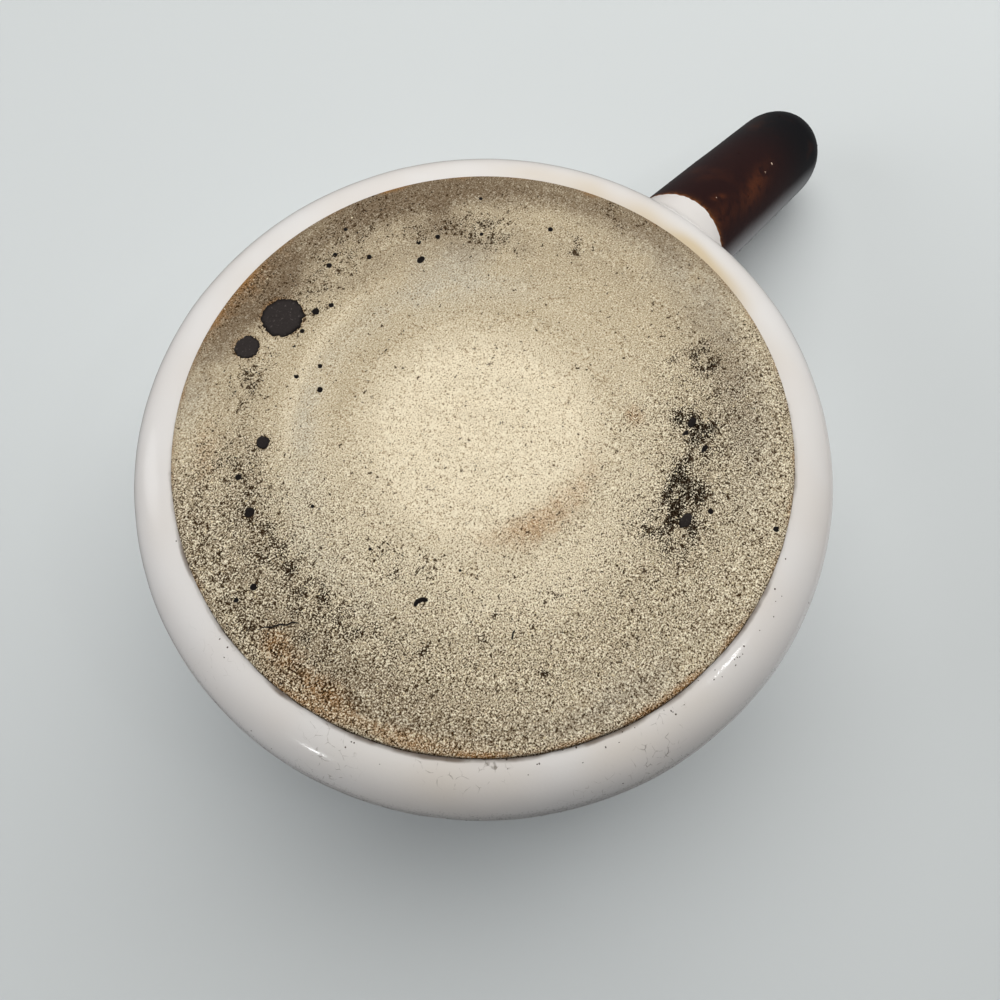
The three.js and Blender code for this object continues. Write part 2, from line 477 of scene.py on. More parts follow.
@dataclass(frozen=True)
class BareClay:
    """Unglazed stoneware, fired and then scorched: dry, full of pores, cream where it is clean.

    Real grog is about 0.2 mm across. The grain is drawn at 0.5 mm, as fine as the render shows.
    """

    tan: str = "#bbae94"
    cream: str = "#e4d8be"
    grey: str = "#bfb8a6"
    pore: str = "#301d09"
    grain_light: str = "#f8f0d9"
    shade: str = "#8a6a3c"
    soot: str = "#130c05"
    smoke: str = "#685744"
    rust: str = "#9a6a31"
    roughness: float = 0.92
    specular: float = 0.05
    grain: float = 0.50
    pit: float = 1.5
    clump: float = 2.4
    mottle: float = 13.0

    def make(self) -> bpy.types.Material:
        """Build the material from the clay's painted masks and its grain."""
        clay = Recipe(
            "unglazed_stoneware",
            ("cream", "grey", "grit", "soot", "smoke", "rust"),
            {"grain": self.grain, "pit": self.pit, "clump": self.clump, "mottle": self.mottle},
            {"Detail": 2.0, "Roughness": 0.6},
        )
        creamy = {"cream": 1.0, "mottle": 0.35, "clump": 0.2}
        smoky = {"smoke": 1.0, "soot": 0.15, "mottle": 0.5, "clump": 0.4}
        rusty = {"mottle": 0.2, "clump": 0.35, "grain": 0.5, "rust": 0.6}
        sparkle = {"grit": 0.55, "pit": 0.85, "smoke": -0.35, "rust": -0.20}
        porous = {"grain": 0.92, "clump": 0.08, "grit": -0.10, "soot": -0.10}
        pitted = {"pit": 1.0, "grit": -0.035, "soot": -0.14}
        burnt = {"clump": 0.3, "grain": 0.5, "soot": 0.5}
        layers = (
            Layer(self.cream, creamy, 0.25, 1.25),
            Layer(self.grey, "mottle", 0.25, 0.55, "grey"),
            Layer(self.shade, "grain", 0.53, 0.30, 0.75),
            Layer(self.smoke, smoky, 0.44, 1.42, 0.9),
            Layer(self.rust, rusty, 0.60, 1.15, 0.70),
            Layer(self.grain_light, "grain", 0.51, 0.67, sparkle),
            Layer(self.pore, porous, 0.39, 0.27, 0.95),
            Layer(self.pore, pitted, 0.34, 0.26, 0.92),
            Layer(self.soot, porous, 0.38, 0.27, "soot"),
            Layer(self.soot, burnt, 0.92, 1.08, 0.9),
        )
        sockets = {"Roughness": self.roughness, "Specular IOR Level": self.specular}
        return clay.finish(self.tan, layers, ({"grain": "grit"}, 0.7, 0.5), sockets)


@dataclass(frozen=True)
class Glaze:
    """Tin-white stoneware glaze, dipped and fired: glossy, faintly pink, warm where it runs thin.

    Its hairlines are far finer than a tenth of a millimetre, and are drawn that wide to show.
    """

    name: str = "white_tin_glaze"
    white: str = "#dddbda"
    blush: str = "#dad6d3"
    thin: str = "#cdbda1"
    # Dark brown for the foot edge: dirt, with painted shade in the crease.
    grime_and_crease_shade: str = "#5f4b37"
    # Grey for the near belly: painted shade, laid with the rubbed glaze there.
    wear_film_and_shade: str = "#7d7873"
    scuff: str = "#57514c"
    craze: str = "#7d756c"
    ior: float = 1.52
    roughness: float = 0.14
    worn_roughness: float = 0.34
    blush_size: float = 35.0
    craze_size: float = 4.2
    craze_bend: float = 4.0
    speck_size: float = 0.6
    peel_size: float = 0.9

    def make(self) -> bpy.types.Material:
        """Build the material from the coat's painted masks, crazing and fine specks."""
        grains = {
            "blush": self.blush_size,
            "cloud": self.craze_size * 1.5,
            "dash": self.craze_size * 0.45,
            "peel": self.peel_size,
            "speck": self.speck_size,
        }
        glaze = Recipe(self.name, ("thin", "grime_and_crease_shade", "wear_and_shade", "craze"), grains, {"Detail": 2.0})
        tree, read = glaze.tree, glaze.read
        sway = {0: read["cloud"].node.outputs["Color"], 1: (self.craze_bend * MM,) * 3, 2: glaze.place}
        bent = add(tree, "ShaderNodeVectorMath", sway, operation="MULTIPLY_ADD").outputs[0]
        cells = {"Vector": bent, "Scale": per_metre(self.craze_size)}
        crack = add(tree, "ShaderNodeTexVoronoi", cells, feature="DISTANCE_TO_EDGE")
        read["crack"] = crack.outputs["Distance"]
        dashes = {0: read["dash"], 1: 0.47, 2: 0.66, 4: read["craze"]}
        read["crazed"] = add(tree, "ShaderNodeMapRange", dashes).outputs[0]
        rubbed = {0: read["wear_and_shade"], 1: 0.0, 2: 1.0, 3: self.roughness, 4: self.worn_roughness}
        gloss = add(tree, "ShaderNodeMapRange", rubbed).outputs[0]
        layers = (
            Layer(self.blush, "blush", 0.35, 0.70),
            Layer(self.thin, "thin", 0.0, 1.0),
            # Painted shade: a grey layer on the near side of the belly, together with the rubbed glaze
            # there.
            Layer(self.wear_film_and_shade, "wear_and_shade", 0.1, 1.0, 0.32),
            Layer(self.craze, "crack", 0.026, 0.008, "crazed"),
            Layer(self.scuff, "speck", 0.55, 0.70, "wear_and_shade"),
            # Painted shade with dirt: a dark line along the foot edge.
            Layer(self.grime_and_crease_shade, {"cloud": 0.5, "grime_and_crease_shade": 0.7}, 0.45, 0.95, 0.8),
        )
        return glaze.finish(self.white, layers, ("peel", 0.16, 0.15), {"Roughness": gloss, "IOR": self.ior})


@dataclass(frozen=True)
class BrownGlaze:
    """Dark iron-brown glaze, dipped over the white: mirror glossy, amber where it breaks at the edge."""

    brown: str = "#24100f"
    deep: str = "#0c0b0e"
    amber: str = "#7a4a24"
    streak: str = "#65351b"
    ior: float = 1.5
    roughness: float = 0.09
    cloud: float = 18.0
    swell: float = 7.0
    wisp: float = 4.0
    fleck: float = 1.2

    def make(self) -> bpy.types.Material:
        """Build the material from the coat's painted masks and soft clouds."""
        grains = {"cloud": self.cloud, "swell": self.swell, "wisp": self.wisp, "fleck": self.fleck}
        glaze = Recipe("iron_brown_glaze", ("thin", "tip", "streak"), grains, {"Detail": 3.0})
        layers = (
            Layer(self.deep, "tip", 0.0, 1.0),
            Layer(self.streak, "cloud", 0.55, 0.85, 0.22),
            Layer(self.streak, "wisp", 0.30, 0.60, "streak"),
            Layer(self.amber, "fleck", 0.25, 0.60, "thin"),
        )
        sockets = {"IOR": self.ior, "Roughness": self.roughness}
        return glaze.finish(self.brown, layers, ("swell", 0.10, 0.5), sockets)


@dataclass(frozen=True)
class Crust:
    """A dry or burnt crust: one colour clouded by another, with a rough skin."""

    name: str
    colour: str
    cloud: str
    roughness: float
    grain: float

    def make(self) -> bpy.types.Material:
        """Build the material from one noise that clouds the colour and lifts the skin."""
        crust = Recipe(self.name, (), {"cloud": self.grain}, {"Detail": 4.0})
        layers = (Layer(self.cloud, "cloud", 0.40, 0.70),)
        return crust.finish(self.colour, layers, ("cloud", 0.6, 0.3), {"Roughness": self.roughness})


@dataclass(frozen=True)
class Char:
    """Food burnt to carbon on a hob: dry, black at its cracked rim and ash-grey within."""

    rim: str = "#120e0d"
    ash: str = "#2b2625"
    dust: str = "#5d5754"
    roughness: float = 0.7
    grain: float = 0.8

    def make(self) -> bpy.types.Material:
        """Build the material from the painted heart of each patch and a fine dust."""
        char = Recipe("burnt_on_char", ("heart",), {"dust": self.grain}, {"Detail": 4.0})
        layers = (Layer(self.ash, "heart", 0.0, 1.0), Layer(self.dust, "dust", 0.58, 0.80, "heart"))
        return char.finish(self.rim, layers, ("dust", 0.6, 0.3), {"Roughness": self.roughness})


# Carbon from a flame: dull and nearly black
SOOT = Crust("soot_flecks", "#17120e", "#3a2e22", 0.9, 0.6)
# Grog that stands out of the clay: pale and dry
GRIT = Crust("clay_grit", "#e9dcbd", "#b7a681", 0.95, 0.8)
# Liquid clay, brushed on and fired: pale, matt and smooth
SLIP = Crust("luting_slip", "#d8ccb2", "#c4b594", 0.95, 1.2)
# Stoneware cast in a plaster mould: even, matt and buff
CORE = Crust("cast_stoneware", "#cdbf9f", "#bba985", 0.95, 1.2)
# Pale pinkish domes that stand for small highlights on the brown glaze: painted highlight, with a slight
# gleam
GLINT_DOT_FINISH = Crust("painted_glint_dots", "#c9b3a2", "#8f7463", 0.35, 0.5)
# Iron that melted out of the clay: dark brown and a little glossy
SPECK = Crust("iron_specks", "#4b3a2c", "#241c17", 0.4, 0.4)


# Scattered grains


class Grain(Enum):
    """Attribute that says how thickly a kind of grain lies."""

    GRIT = "grit"
    SOOT = "soot"
    SPECK = "speck"
    PIMPLE = "pimple"


@dataclass(frozen=True)
class Scatter:
    """Geometry Nodes that strew flattened grains over a surface."""

    name: str
    follows: Grain
    per_square_mm: float
    smallest: float
    largest: float
    flat: float
    seed: int

    def tree(self) -> bpy.types.NodeTree:
        """Build the tree, with an input for each size."""
        tree = bpy.data.node_groups.new("strewn_" + self.name, "GeometryNodeTree")
        sockets = [("Geometry", "INPUT", "Geometry")]
        sockets += [(label, "INPUT", "Float") for label in ("Density", "Smallest", "Largest", "Flatness")]
        sockets += [("Seed", "INPUT", "Int"), ("Material", "INPUT", "Material")]
        sockets += [("Geometry", "OUTPUT", "Geometry")]
        for label, side, kind in sockets:
            tree.interface.new_socket(label, in_out=side, socket_type="NodeSocket" + kind)
        given = add(tree, "NodeGroupInput").outputs
        inputs = {"Name": self.follows.value}
        thick = add(tree, "GeometryNodeInputNamedAttribute", inputs, data_type="FLOAT")
        inputs = {0: thick.outputs[0], 1: given["Density"]}
        density = add(tree, "ShaderNodeMath", inputs, operation="MULTIPLY").outputs[0]
        inputs = {"Mesh": given["Geometry"], "Density": density, "Seed": given["Seed"]}
        strewn = add(tree, "GeometryNodeDistributePointsOnFaces", inputs).outputs
        sizes = []
        for offset in (1, 2):
            own = add(tree, "ShaderNodeMath", {0: given["Seed"], 1: offset}, operation="ADD").outputs[0]
            inputs = {2: given["Smallest"], 3: given["Largest"], 8: own}
            sizes.append(add(tree, "FunctionNodeRandomValue", inputs, data_type="FLOAT").outputs[1])
        inputs = {0: sizes[0], 1: given["Flatness"]}
        low = add(tree, "ShaderNodeMath", inputs, operation="MULTIPLY").outputs[0]
        grain = add(tree, "GeometryNodeMeshIcoSphere", {"Radius": 1.0, "Subdivisions": 1})
        inputs = {
            "Points": strewn["Points"],
            "Instance": grain.outputs[0],
            "Rotation": strewn["Rotation"],
            "Scale": add(tree, "ShaderNodeCombineXYZ", {0: sizes[0], 1: sizes[1], 2: low}).outputs[0],
        }
        grains = add(tree, "GeometryNodeInstanceOnPoints", inputs).outputs[0]
        real = add(tree, "GeometryNodeRealizeInstances", {0: grains}).outputs[0]
        inputs = {"Geometry": real, "Material": given["Material"]}
        dressed = add(tree, "GeometryNodeSetMaterial", inputs).outputs[0]
        add(tree, "NodeGroupOutput", {0: dressed})
        return tree

    def strew(self, ground: bpy.types.Object, material: bpy.types.Material) -> bpy.types.Object:
        """Strew the grains over a piece.

        Args:
            ground: piece with the attribute that the grains follow.
            material: finish of the grains.

        Returns:
            A new plain mesh object of the grains.
        """
        tree = self.tree()
        values = {
            "Density": self.per_square_mm / MM**2,
            "Smallest": self.smallest * MM / 2,
            "Largest": self.largest * MM / 2,
            "Flatness": self.flat,
            "Seed": self.seed,
            "Material": material,
        }
        bed = placed(self.name + "_bed", ground.data.copy())
        modifier = bed.modifiers.new("strewn", "NODES")
        modifier.node_group = tree
        for item in tree.interface.items_tree:
            if item.in_out == "INPUT" and item.name in values:
                modifier[item.identifier] = values[item.name]
        depsgraph = bpy.context.evaluated_depsgraph_get()
        mesh = bpy.data.meshes.new_from_object(bed.evaluated_get(depsgraph), depsgraph=depsgraph)
        bed.modifiers.remove(modifier)
        bpy.data.objects.remove(bed)
        mesh.name = self.name
        mesh.shade_smooth()
        return placed(self.name, mesh)


# Bowl


@dataclass
class Bowl:
    """The clay bowl with its white coat and its lining."""

    foot_radius: float = 100.0
    foot_step: float = 1.5
    heel_overhang: float = 17.5
    belly_height: float = 18.0
    rim_setback: float = 7.5
    height: float = 100.0
    wall: float = 8.0
    floor: float = 10.0
    corner: float = 16.0
    coat: float = 0.9
    glaze: float = 0.6
    foot_round: float = 0.7
    foot_pole: float = 0.8
    foot_hollow: float = 0.45
    foot_lift: float = 0.25
    turning: tuple = ((0.10, 13.5, 0.0), (0.05, 6.2, 1.0))
    weathering: tuple = ((0.035, 3.2, 11), (0.05, 11.0, 12))
    edge_slack: float = 0.25
    edge_bead: float = 0.3
    edge_lap: float = 0.1
    foot_sides: int = 480
    foot_rings: int = 100
    sides: int = 320

    @property
    def belly_radius(self) -> float:
        """Radius at the widest point."""
        return self.foot_radius + self.heel_overhang

    @property
    def lip_radius(self) -> float:
        """Radius of the lip's round section."""
        return self.wall / 2

    @property
    def lip_height(self) -> float:
        """Height of the centre of the lip's section."""
        return self.height - self.lip_radius

    def radius_at(self, height: np.ndarray) -> np.ndarray:
        """Outside radius of the finished bowl.

        Args:
            height: heights between the foot and the lip.

        Returns:
            The radius at each height.
        """
        drop = np.clip((self.belly_height - height) / (self.belly_height - self.foot_step), 0, 1)
        heel = self.foot_radius + self.heel_overhang * np.sqrt(1 - drop**2)
        rise = (height - self.belly_height) / (self.lip_height - self.belly_height)
        return np.where(height < self.belly_height, heel, self.belly_radius - self.rim_setback * rise**2)

    def outside(self, inset: float, heel: int, wall: int, lip: int) -> np.ndarray:
        """Outline of the outside from the heel to the lip's crown.

        Args:
            inset: depth below the finished surface.
            heel: steps round the heel.
            wall: steps up the wall.
            lip: steps over the lip.

        Returns:
            Radius and height of each point.
        """
        turn = np.linspace(-math.pi / 2, 0, heel + 1)
        radius = self.foot_radius + (self.heel_overhang - inset) * np.cos(turn)
        depth = self.belly_height - self.foot_step - inset
        low = np.column_stack([radius, self.belly_height + depth * np.sin(turn)])
        rise = np.linspace(0, 1, wall + 1)[1:]
        radius = self.belly_radius - inset - self.rim_setback * rise**2
        up = np.column_stack([radius, self.belly_height + (self.lip_height - self.belly_height) * rise])
        return np.vstack([low, up, self.lip(inset, 0, math.pi / 2, lip)[1:]])

    def lip(self, inset: float, start: float, end: float, steps: int) -> np.ndarray:
        """Part of the lip's round section.

        Args:
            inset: depth below the finished surface.
            start: first angle, from outwards.
            end: last angle.
            steps: steps between them.

        Returns:
            Radius and height of each point.
        """
        turn = np.linspace(start, end, steps + 1)
        centre = self.belly_radius - self.rim_setback - self.lip_radius
        reach = self.lip_radius - inset
        return np.column_stack([centre + reach * np.cos(turn), self.lip_height + reach * np.sin(turn)])

    def inside(self, inset: float, lip: int, wall: int, bend: int) -> np.ndarray:
        """Outline of the inside from the lip's crown to the floor's edge.

        Args:
            inset: depth below the finished surface.
            lip: steps over the lip.
            wall: steps down the wall.
            bend: steps round the corner.

        Returns:
            Radius and height of each point.
        """
        crown = self.lip(inset, math.pi / 2, math.pi, lip)
        inner = self.belly_radius - self.wall
        low = self.floor + self.corner
        fall = np.linspace(0, 1, wall + 1)[1:]
        top = self.belly_radius - self.rim_setback - self.wall
        radius = inset + top + (inner - top) * (1 - (1 - fall) ** 2)
        down = np.column_stack([radius, self.lip_height + (low - self.lip_height) * fall])
        turn = np.linspace(0, -math.pi / 2, bend + 1)[1:]
        reach = self.corner + inset
        corner = np.column_stack([inner - self.corner + reach * np.cos(turn), low + reach * np.sin(turn)])
        return np.vstack([crown, down, corner])

    @staticmethod
    def turned(outline: np.ndarray, sides: int) -> np.ndarray:
        """Turn an outline about the bowl's axis.

        Args:
            outline: radius and height of each point.
            sides: places round each ring.

        Returns:
            Ring, place, then x, y and z.
        """
        turn = ring_angles(sides)
        radius, height = outline[:, :1], outline[:, 1:]
        level = np.broadcast_to(height, (len(outline), sides))
        return np.stack([radius * np.cos(turn), radius * np.sin(turn), level], -1)

    def clay(self) -> tuple[bpy.types.Object, np.ndarray]:
        """Build the clay body, with a turned and weathered foot.

        Returns:
            The piece, and x and y of its points.
        """
        radius = np.linspace(self.foot_pole, self.foot_radius - self.foot_round, self.foot_rings)
        turn = np.linspace(-math.pi / 2, 0, 5)[1:]
        rounded = self.foot_radius - self.foot_round * (1 - np.cos(turn))
        edge = np.column_stack([rounded, self.foot_round * (1 + np.sin(turn))])
        foot = np.vstack([np.column_stack([radius, np.zeros_like(radius)]), edge])
        hidden = np.vstack([self.outside(self.coat, 6, 5, 4), self.inside(self.coat, 4, 5, 4)[1:]])
        rings = self.turned(np.vstack([foot, hidden]), self.foot_sides)
        face = rings[: len(foot)]
        flat = face[..., :2]
        reach = np.linalg.norm(flat, axis=-1)
        lathe = sum(
            height * np.sin(reach * 2 * math.pi / pitch + start) for height, pitch, start in self.turning
        )
        sag = self.foot_hollow * (1 - (reach / self.foot_radius) ** 2)
        calm = ease(self.foot_radius - reach, 0.5, 6.0)
        uneven_foot = lathe + uneven(flat, *self.weathering) + self.foot_lift
        face[..., 2] += np.maximum(sag + uneven_foot * calm, 0)
        middle = [0, 0, face[0, :, 2].mean()]
        points, faces = skin(rings, False, (middle, [0, 0, self.floor - self.coat]))
        return mesh_piece("clay_body", [(points, faces)]), points[:, :2]

    def white_coat(self) -> tuple[np.ndarray, list]:
        """Build the coat of the outside, with a beaded and uneven edge at the foot.

        Returns:
            Points and faces of the closed coat.
        """
        over = self.turned(self.outside(0.0, 30, 26, 8), self.sides)
        under = self.turned(self.outside(self.glaze, 12, 8, 4), self.sides)[::-1]
        round_foot = self.foot_radius * spokes(ring_angles(self.sides))
        slack = self.edge_slack + uneven(round_foot, (0.05, 9.0, 21), (0.05, 31.0, 22))
        heel = over[:7]
        reach = np.linalg.norm(heel[..., :2], axis=-1)
        fade = np.linspace(1, 0, len(heel))[:, None] ** 1.5
        heel[..., :2] *= ((reach + fade * np.clip(slack, 0.1, 0.6)) / reach)[..., None]
        calm = ease(self.height - over[..., 2], 0.2, 6.0)
        reach = np.linalg.norm(over[..., :2], axis=-1)
        swell = uneven(over, (0.05, 46.0, 23), (0.02, 14.0, 24))
        over[..., :2] *= (1 + swell * calm / reach)[..., None]
        tucked = under[-1]
        reach = np.linalg.norm(tucked[:, :2], axis=1)
        tucked[:, :2] *= ((self.foot_radius + self.edge_slack) / reach)[:, None]
        bead = over[0].copy()
        bead[:, 2] += self.edge_bead
        bead[:, :2] *= 1 - self.edge_lap / self.foot_radius
        return skin(np.concatenate([bead[None], over, under]), True)

    def lining(self) -> bpy.types.Object:
        """Build the lining, from the lip's crown to the middle of the floor."""
        bare_floor = np.linspace(self.belly_radius - self.wall - self.corner, 1.0, 26)[1:]
        level = np.column_stack([bare_floor, np.full_like(bare_floor, self.floor)])
        over = np.vstack([self.inside(0.0, 8, 26, 14), level])
        under = self.inside(self.glaze, 4, 8, 6)[::-1]
        rings = self.turned(np.vstack([under, over]), self.sides)
        shown = rings[len(under) :]
        calm = ease(self.height - shown[..., 2], 0.2, 6.0)
        flat = np.linalg.norm(shown[..., :2], axis=-1)
        sway = uneven(shown, (0.05, 42.0, 31), (0.02, 15.0, 32)) * calm
        shown[..., 2] += sway * (shown[..., 2] < self.floor + 2)
        shown[..., :2] *= (1 + sway * (shown[..., 2] >= self.floor + 2) / flat)[..., None]
        poles = ([0, 0, self.floor - self.glaze], [0, 0, shown[-1, :, 2].mean()])
        return mesh_piece("lining_coat", [skin(rings, False, poles)])


# Handle


@dataclass
class Handle:
    """The stub handle: a white sleeve at its root and a brown coat over the rest."""

    bowl: Bowl
    radius: float = 20.2
    length: float = 130.0
    end: float = 24.6
    tilt: float = math.radians(23.2)
    underside: float = 11.0
    fillet: float = 4.0
    dip: float = 2.8
    brown: float = 0.22
    tuck: float = 4.0
    sleeve: float = 0.6
    bedding: float = 0.15
    sides: int = 192
    turn: np.ndarray = field(init=False)
    reach: np.ndarray = field(init=False)
    slope: np.ndarray = field(init=False)

    def __post_init__(self) -> None:
        """Find where each line of the handle meets the bowl, and how the wall slopes there."""
        self.turn = ring_angles(self.sides)
        self.reach = self.wall_reach(self.white_radius)
        self.slope = self.wall_reach(self.white_radius + 1.0) - self.reach

    @property
    def white_radius(self) -> float:
        """Radius of the handle over its white sleeve."""
        return self.radius - self.brown

    @property
    def root(self) -> np.ndarray:
        """Where the handle's axis crosses the belly line."""
        lift = self.underside + self.radius / math.cos(self.tilt)
        return np.array([self.bowl.belly_radius, 0, lift])

    @property
    def axis(self) -> np.ndarray:
        """Direction of the handle."""
        return np.array([math.cos(self.tilt), 0, math.sin(self.tilt)])

    def wall_reach(self, radius: float) -> np.ndarray:
        """How far along the handle each of its lines leaves the bowl.

        Args:
            radius: distance of the lines from the axis.

        Returns:
            Distance from the belly line for each line.
        """
        low = np.full(self.sides, -40.0)
        high = np.full(self.sides, 40.0)
        for _ in range(40):
            middle = (low + high) / 2
            place = self.points(middle[None], np.full((1, self.sides), radius))[0]
            buried = np.hypot(place[:, 0], place[:, 1]) < self.bowl.radius_at(place[:, 2])
            low = np.where(buried, middle, low)
            high = np.where(buried, high, middle)
        return low

    def points(self, along: np.ndarray, radius: np.ndarray) -> np.ndarray:
        """Places round the handle.

        Args:
            along: distance from the belly line, by ring and line.
            radius: distance from the axis, by ring and line.

        Returns:
            Ring, line, then x, y and z.
        """
        lift = np.array([-self.axis[2], 0, self.axis[0]])
        side = np.array([0.0, 1.0, 0.0])
        spoke = np.cos(self.turn)[:, None] * side + np.sin(self.turn)[:, None] * lift
        return self.root + along[..., None] * self.axis + radius[..., None] * spoke

    def fillet_path(self, steps: int) -> tuple[np.ndarray, np.ndarray]:
        """Hollow curve from the bowl's wall to the handle.

        Args:
            steps: points on the curve.

        Returns:
            Distance along and from the axis, by point and line.
        """
        t = np.linspace(0, 1, steps)[:, None]
        spread = self.fillet / np.hypot(1, self.slope)
        foot = self.reach + spread * self.slope
        top = self.reach + self.fillet
        along = (1 - t) ** 2 * foot + 2 * t * (1 - t) * self.reach + t**2 * top
        return along, self.white_radius + (1 - t) ** 2 * spread

    def edge_line(self) -> np.ndarray:
        """Where the dip ended on each line, a little uneven."""
        round_root = self.radius * spokes(self.turn)
        dipped = np.maximum(self.dip, self.reach + 0.7 * self.fillet)
        return dipped + uneven(round_root, (0.22, 12.0, 41), (0.2, 2.6, 42))

    def white_sleeve(self) -> tuple[np.ndarray, list]:
        """Build the white sleeve from the bowl's wall to a little under the brown.

        Returns:
            Points and faces of the closed sleeve.
        """
        along, radius = self.fillet_path(14)
        end = np.maximum(self.edge_line(), along[-1]) + self.tuck
        run = np.linspace(0, 1, 9)[1:, None]
        straight = along[-1] + (end - along[-1]) * run
        over_along = np.vstack([along, straight])
        over_along[0] -= 0.3
        over_radius = np.vstack([radius, np.full_like(straight, self.white_radius)])
        under_along = np.vstack([end, self.reach - 1.0, along[0] - 1.0])
        inner = np.full((2, self.sides), self.white_radius - self.sleeve)
        under_radius = np.vstack([inner, radius[:1] - 0.2])
        rings = self.points(np.vstack([over_along, under_along]), np.vstack([over_radius, under_radius]))
        return skin(rings, True)

    def brown_path(self, steps: int) -> tuple[np.ndarray, np.ndarray, np.ndarray]:
        """Path of the brown coat's bed from its edge to the handle's end, on each line.

        Args:
            steps: points on each path.

        Returns:
            Distance along and from the axis, and from the edge, by point and line.
        """
        fine_along, fine_radius = self.fillet_path(120)
        edge = self.edge_line()
        stop = self.length - self.brown
        start = stop - (self.end - self.brown)
        turn = np.linspace(0, math.pi / 2, 60)[1:]
        tip_along = start + (self.end - self.brown) * np.sin(turn)
        tip_radius = self.white_radius * np.cos(turn)
        along = np.zeros((steps, self.sides))
        radius = np.zeros_like(along)
        gone = np.zeros_like(along)
        share = np.linspace(0, 1, steps)
        for line in range(self.sides):
            s, r = fine_along[:, line], fine_radius[:, line]
            dry = np.nonzero(s < edge[line])[0]
            first = dry[-1] + 1 if len(dry) else 0
            s, r = s[first:], r[first:]
            if not len(s):
                s, r = np.array([edge[line]]), np.array([self.white_radius])
            s = np.concatenate([s, [start], tip_along])
            r = np.concatenate([r, [self.white_radius], tip_radius])
            length = np.concatenate([[0], np.cumsum(np.hypot(np.diff(s), np.diff(r)))])
            wanted = np.where(share < 0.1, share * 20, 2 + (share - 0.1) / 0.9 * (length[-1] - 2))
            wanted[-1] = length[-1]
            along[:, line] = np.interp(wanted, length, s)
            radius[:, line] = np.interp(wanted, length, r)
            gone[:, line] = wanted
        return along, radius, gone

    def brown_coat(self, camera: PhotoCamera, streaks: tuple) -> bpy.types.Object:
        """Build the brown coat with its rounded edge and its painted masks.

        Args:
            camera: camera that places the streaks.
            streaks: marks that show as thinner, redder glaze.

        Returns:
            The finished piece.
        """
        along, radius, gone = self.brown_path(150)
        slant_s = np.gradient(along, axis=0)
        slant_r = np.gradient(radius, axis=0)
        size = np.hypot(slant_s, slant_r)
        size[size == 0] = 1
        out_s, out_r = -slant_r / size, slant_s / size
        thick = self.brown * (1 - np.exp(-gone / 0.25)) - 0.03
        bed = self.points(along, radius)
        thick = thick + 0.05 * (ripple(bed, 38.0, 43) - 1) * ease(gone, 0.5, 5.0) * ease(radius, 3.0, 9.0)
        over = self.points((along + out_s * thick)[:-1], (radius + out_r * thick)[:-1])
        deep_along, deep_radius = along - out_s * self.bedding, radius - out_r * self.bedding
        under = self.points(deep_along[:-1:6], deep_radius[:-1:6])[::-1]
        tips = [self.root + self.axis * (self.length - depth) for depth in (self.brown + self.bedding, 0.0)]
        points, faces = skin(np.concatenate([under, over]), False, (tips[0], tips[1]))
        piece = mesh_piece("brown_coat", [(points, faces)])
        blank = np.zeros(under.shape[0] * self.sides)
        thin = np.exp(-gone[:-1] / 1.0)
        tip = ease(along[:-1], 45.0, 112.0)
        shown = camera.pixels(over)
        flush = np.zeros_like(thin)
        for mark in streaks:
            flush += mark.share(shown)
        for name, values in (("thin", thin), ("tip", tip), ("streak", np.clip(flush, 0, 1))):
            paint(piece, name, np.concatenate([blank, values.ravel()]))
        pimple = np.where(gone[:-1] > 6, 1.0, 0.0)
        paint(piece, Grain.PIMPLE.value, np.concatenate([blank, pimple.ravel()]))
        return piece


# Marks on the foot


@dataclass(frozen=True)
class Stain:
    """A soft patch that bends with the pot's turning, by the pixel of its middle and its reach."""

    name: str
    across: float
    down: float
    inward: float
    around: float
    strength: float

    def share(self, camera: PhotoCamera, places: np.ndarray) -> np.ndarray:
        """How strong the patch is at places on the foot or the heel.

        Args:
            camera: camera that places the patch.
            places: x and y of each place, in millimetres.

        Returns:
            A share for each place.
        """
        x, y = camera.on_foot(self.across, self.down)
        reach = math.hypot(x, y)
        swing = np.arctan2(places[:, 1], places[:, 0]) - math.atan2(y, x)
        swing = (swing + math.pi) % (2 * math.pi) - math.pi
        inward = (np.hypot(places[:, 0], places[:, 1]) - reach) / self.inward
        return self.strength * np.exp(-(inward**2) - (reach * swing / self.around) ** 2)


def stained(stains: tuple, camera: PhotoCamera, places: np.ndarray) -> np.ndarray:
    """Sum of some stains.

    Args:
        stains: the stains.
        camera: camera that places them.
        places: x and y of each place, in millimetres.

    Returns:
        A share for each place.
    """
    return sum(stain.share(camera, places) for stain in stains)


@dataclass(frozen=True)
class Streak:
    """A soft streak on the handle, in pixels of the photograph."""

    name: str
    across: float
    down: float
    long: float
    wide: float
    lean: float
    strength: float

    def share(self, pixels: np.ndarray) -> np.ndarray:
        """How strong the streak is where places show.

        Args:
            pixels: pixel of the photograph that each place shows at.

        Returns:
            A share for each place.
        """
        gap = pixels - np.array([self.across, self.down])
        lean = np.array([math.cos(self.lean), math.sin(self.lean)])
        flank = np.array([-lean[1], lean[0]])
        return self.strength * np.exp(-((gap @ lean / self.long) ** 2) - (gap @ flank / self.wide) ** 2)


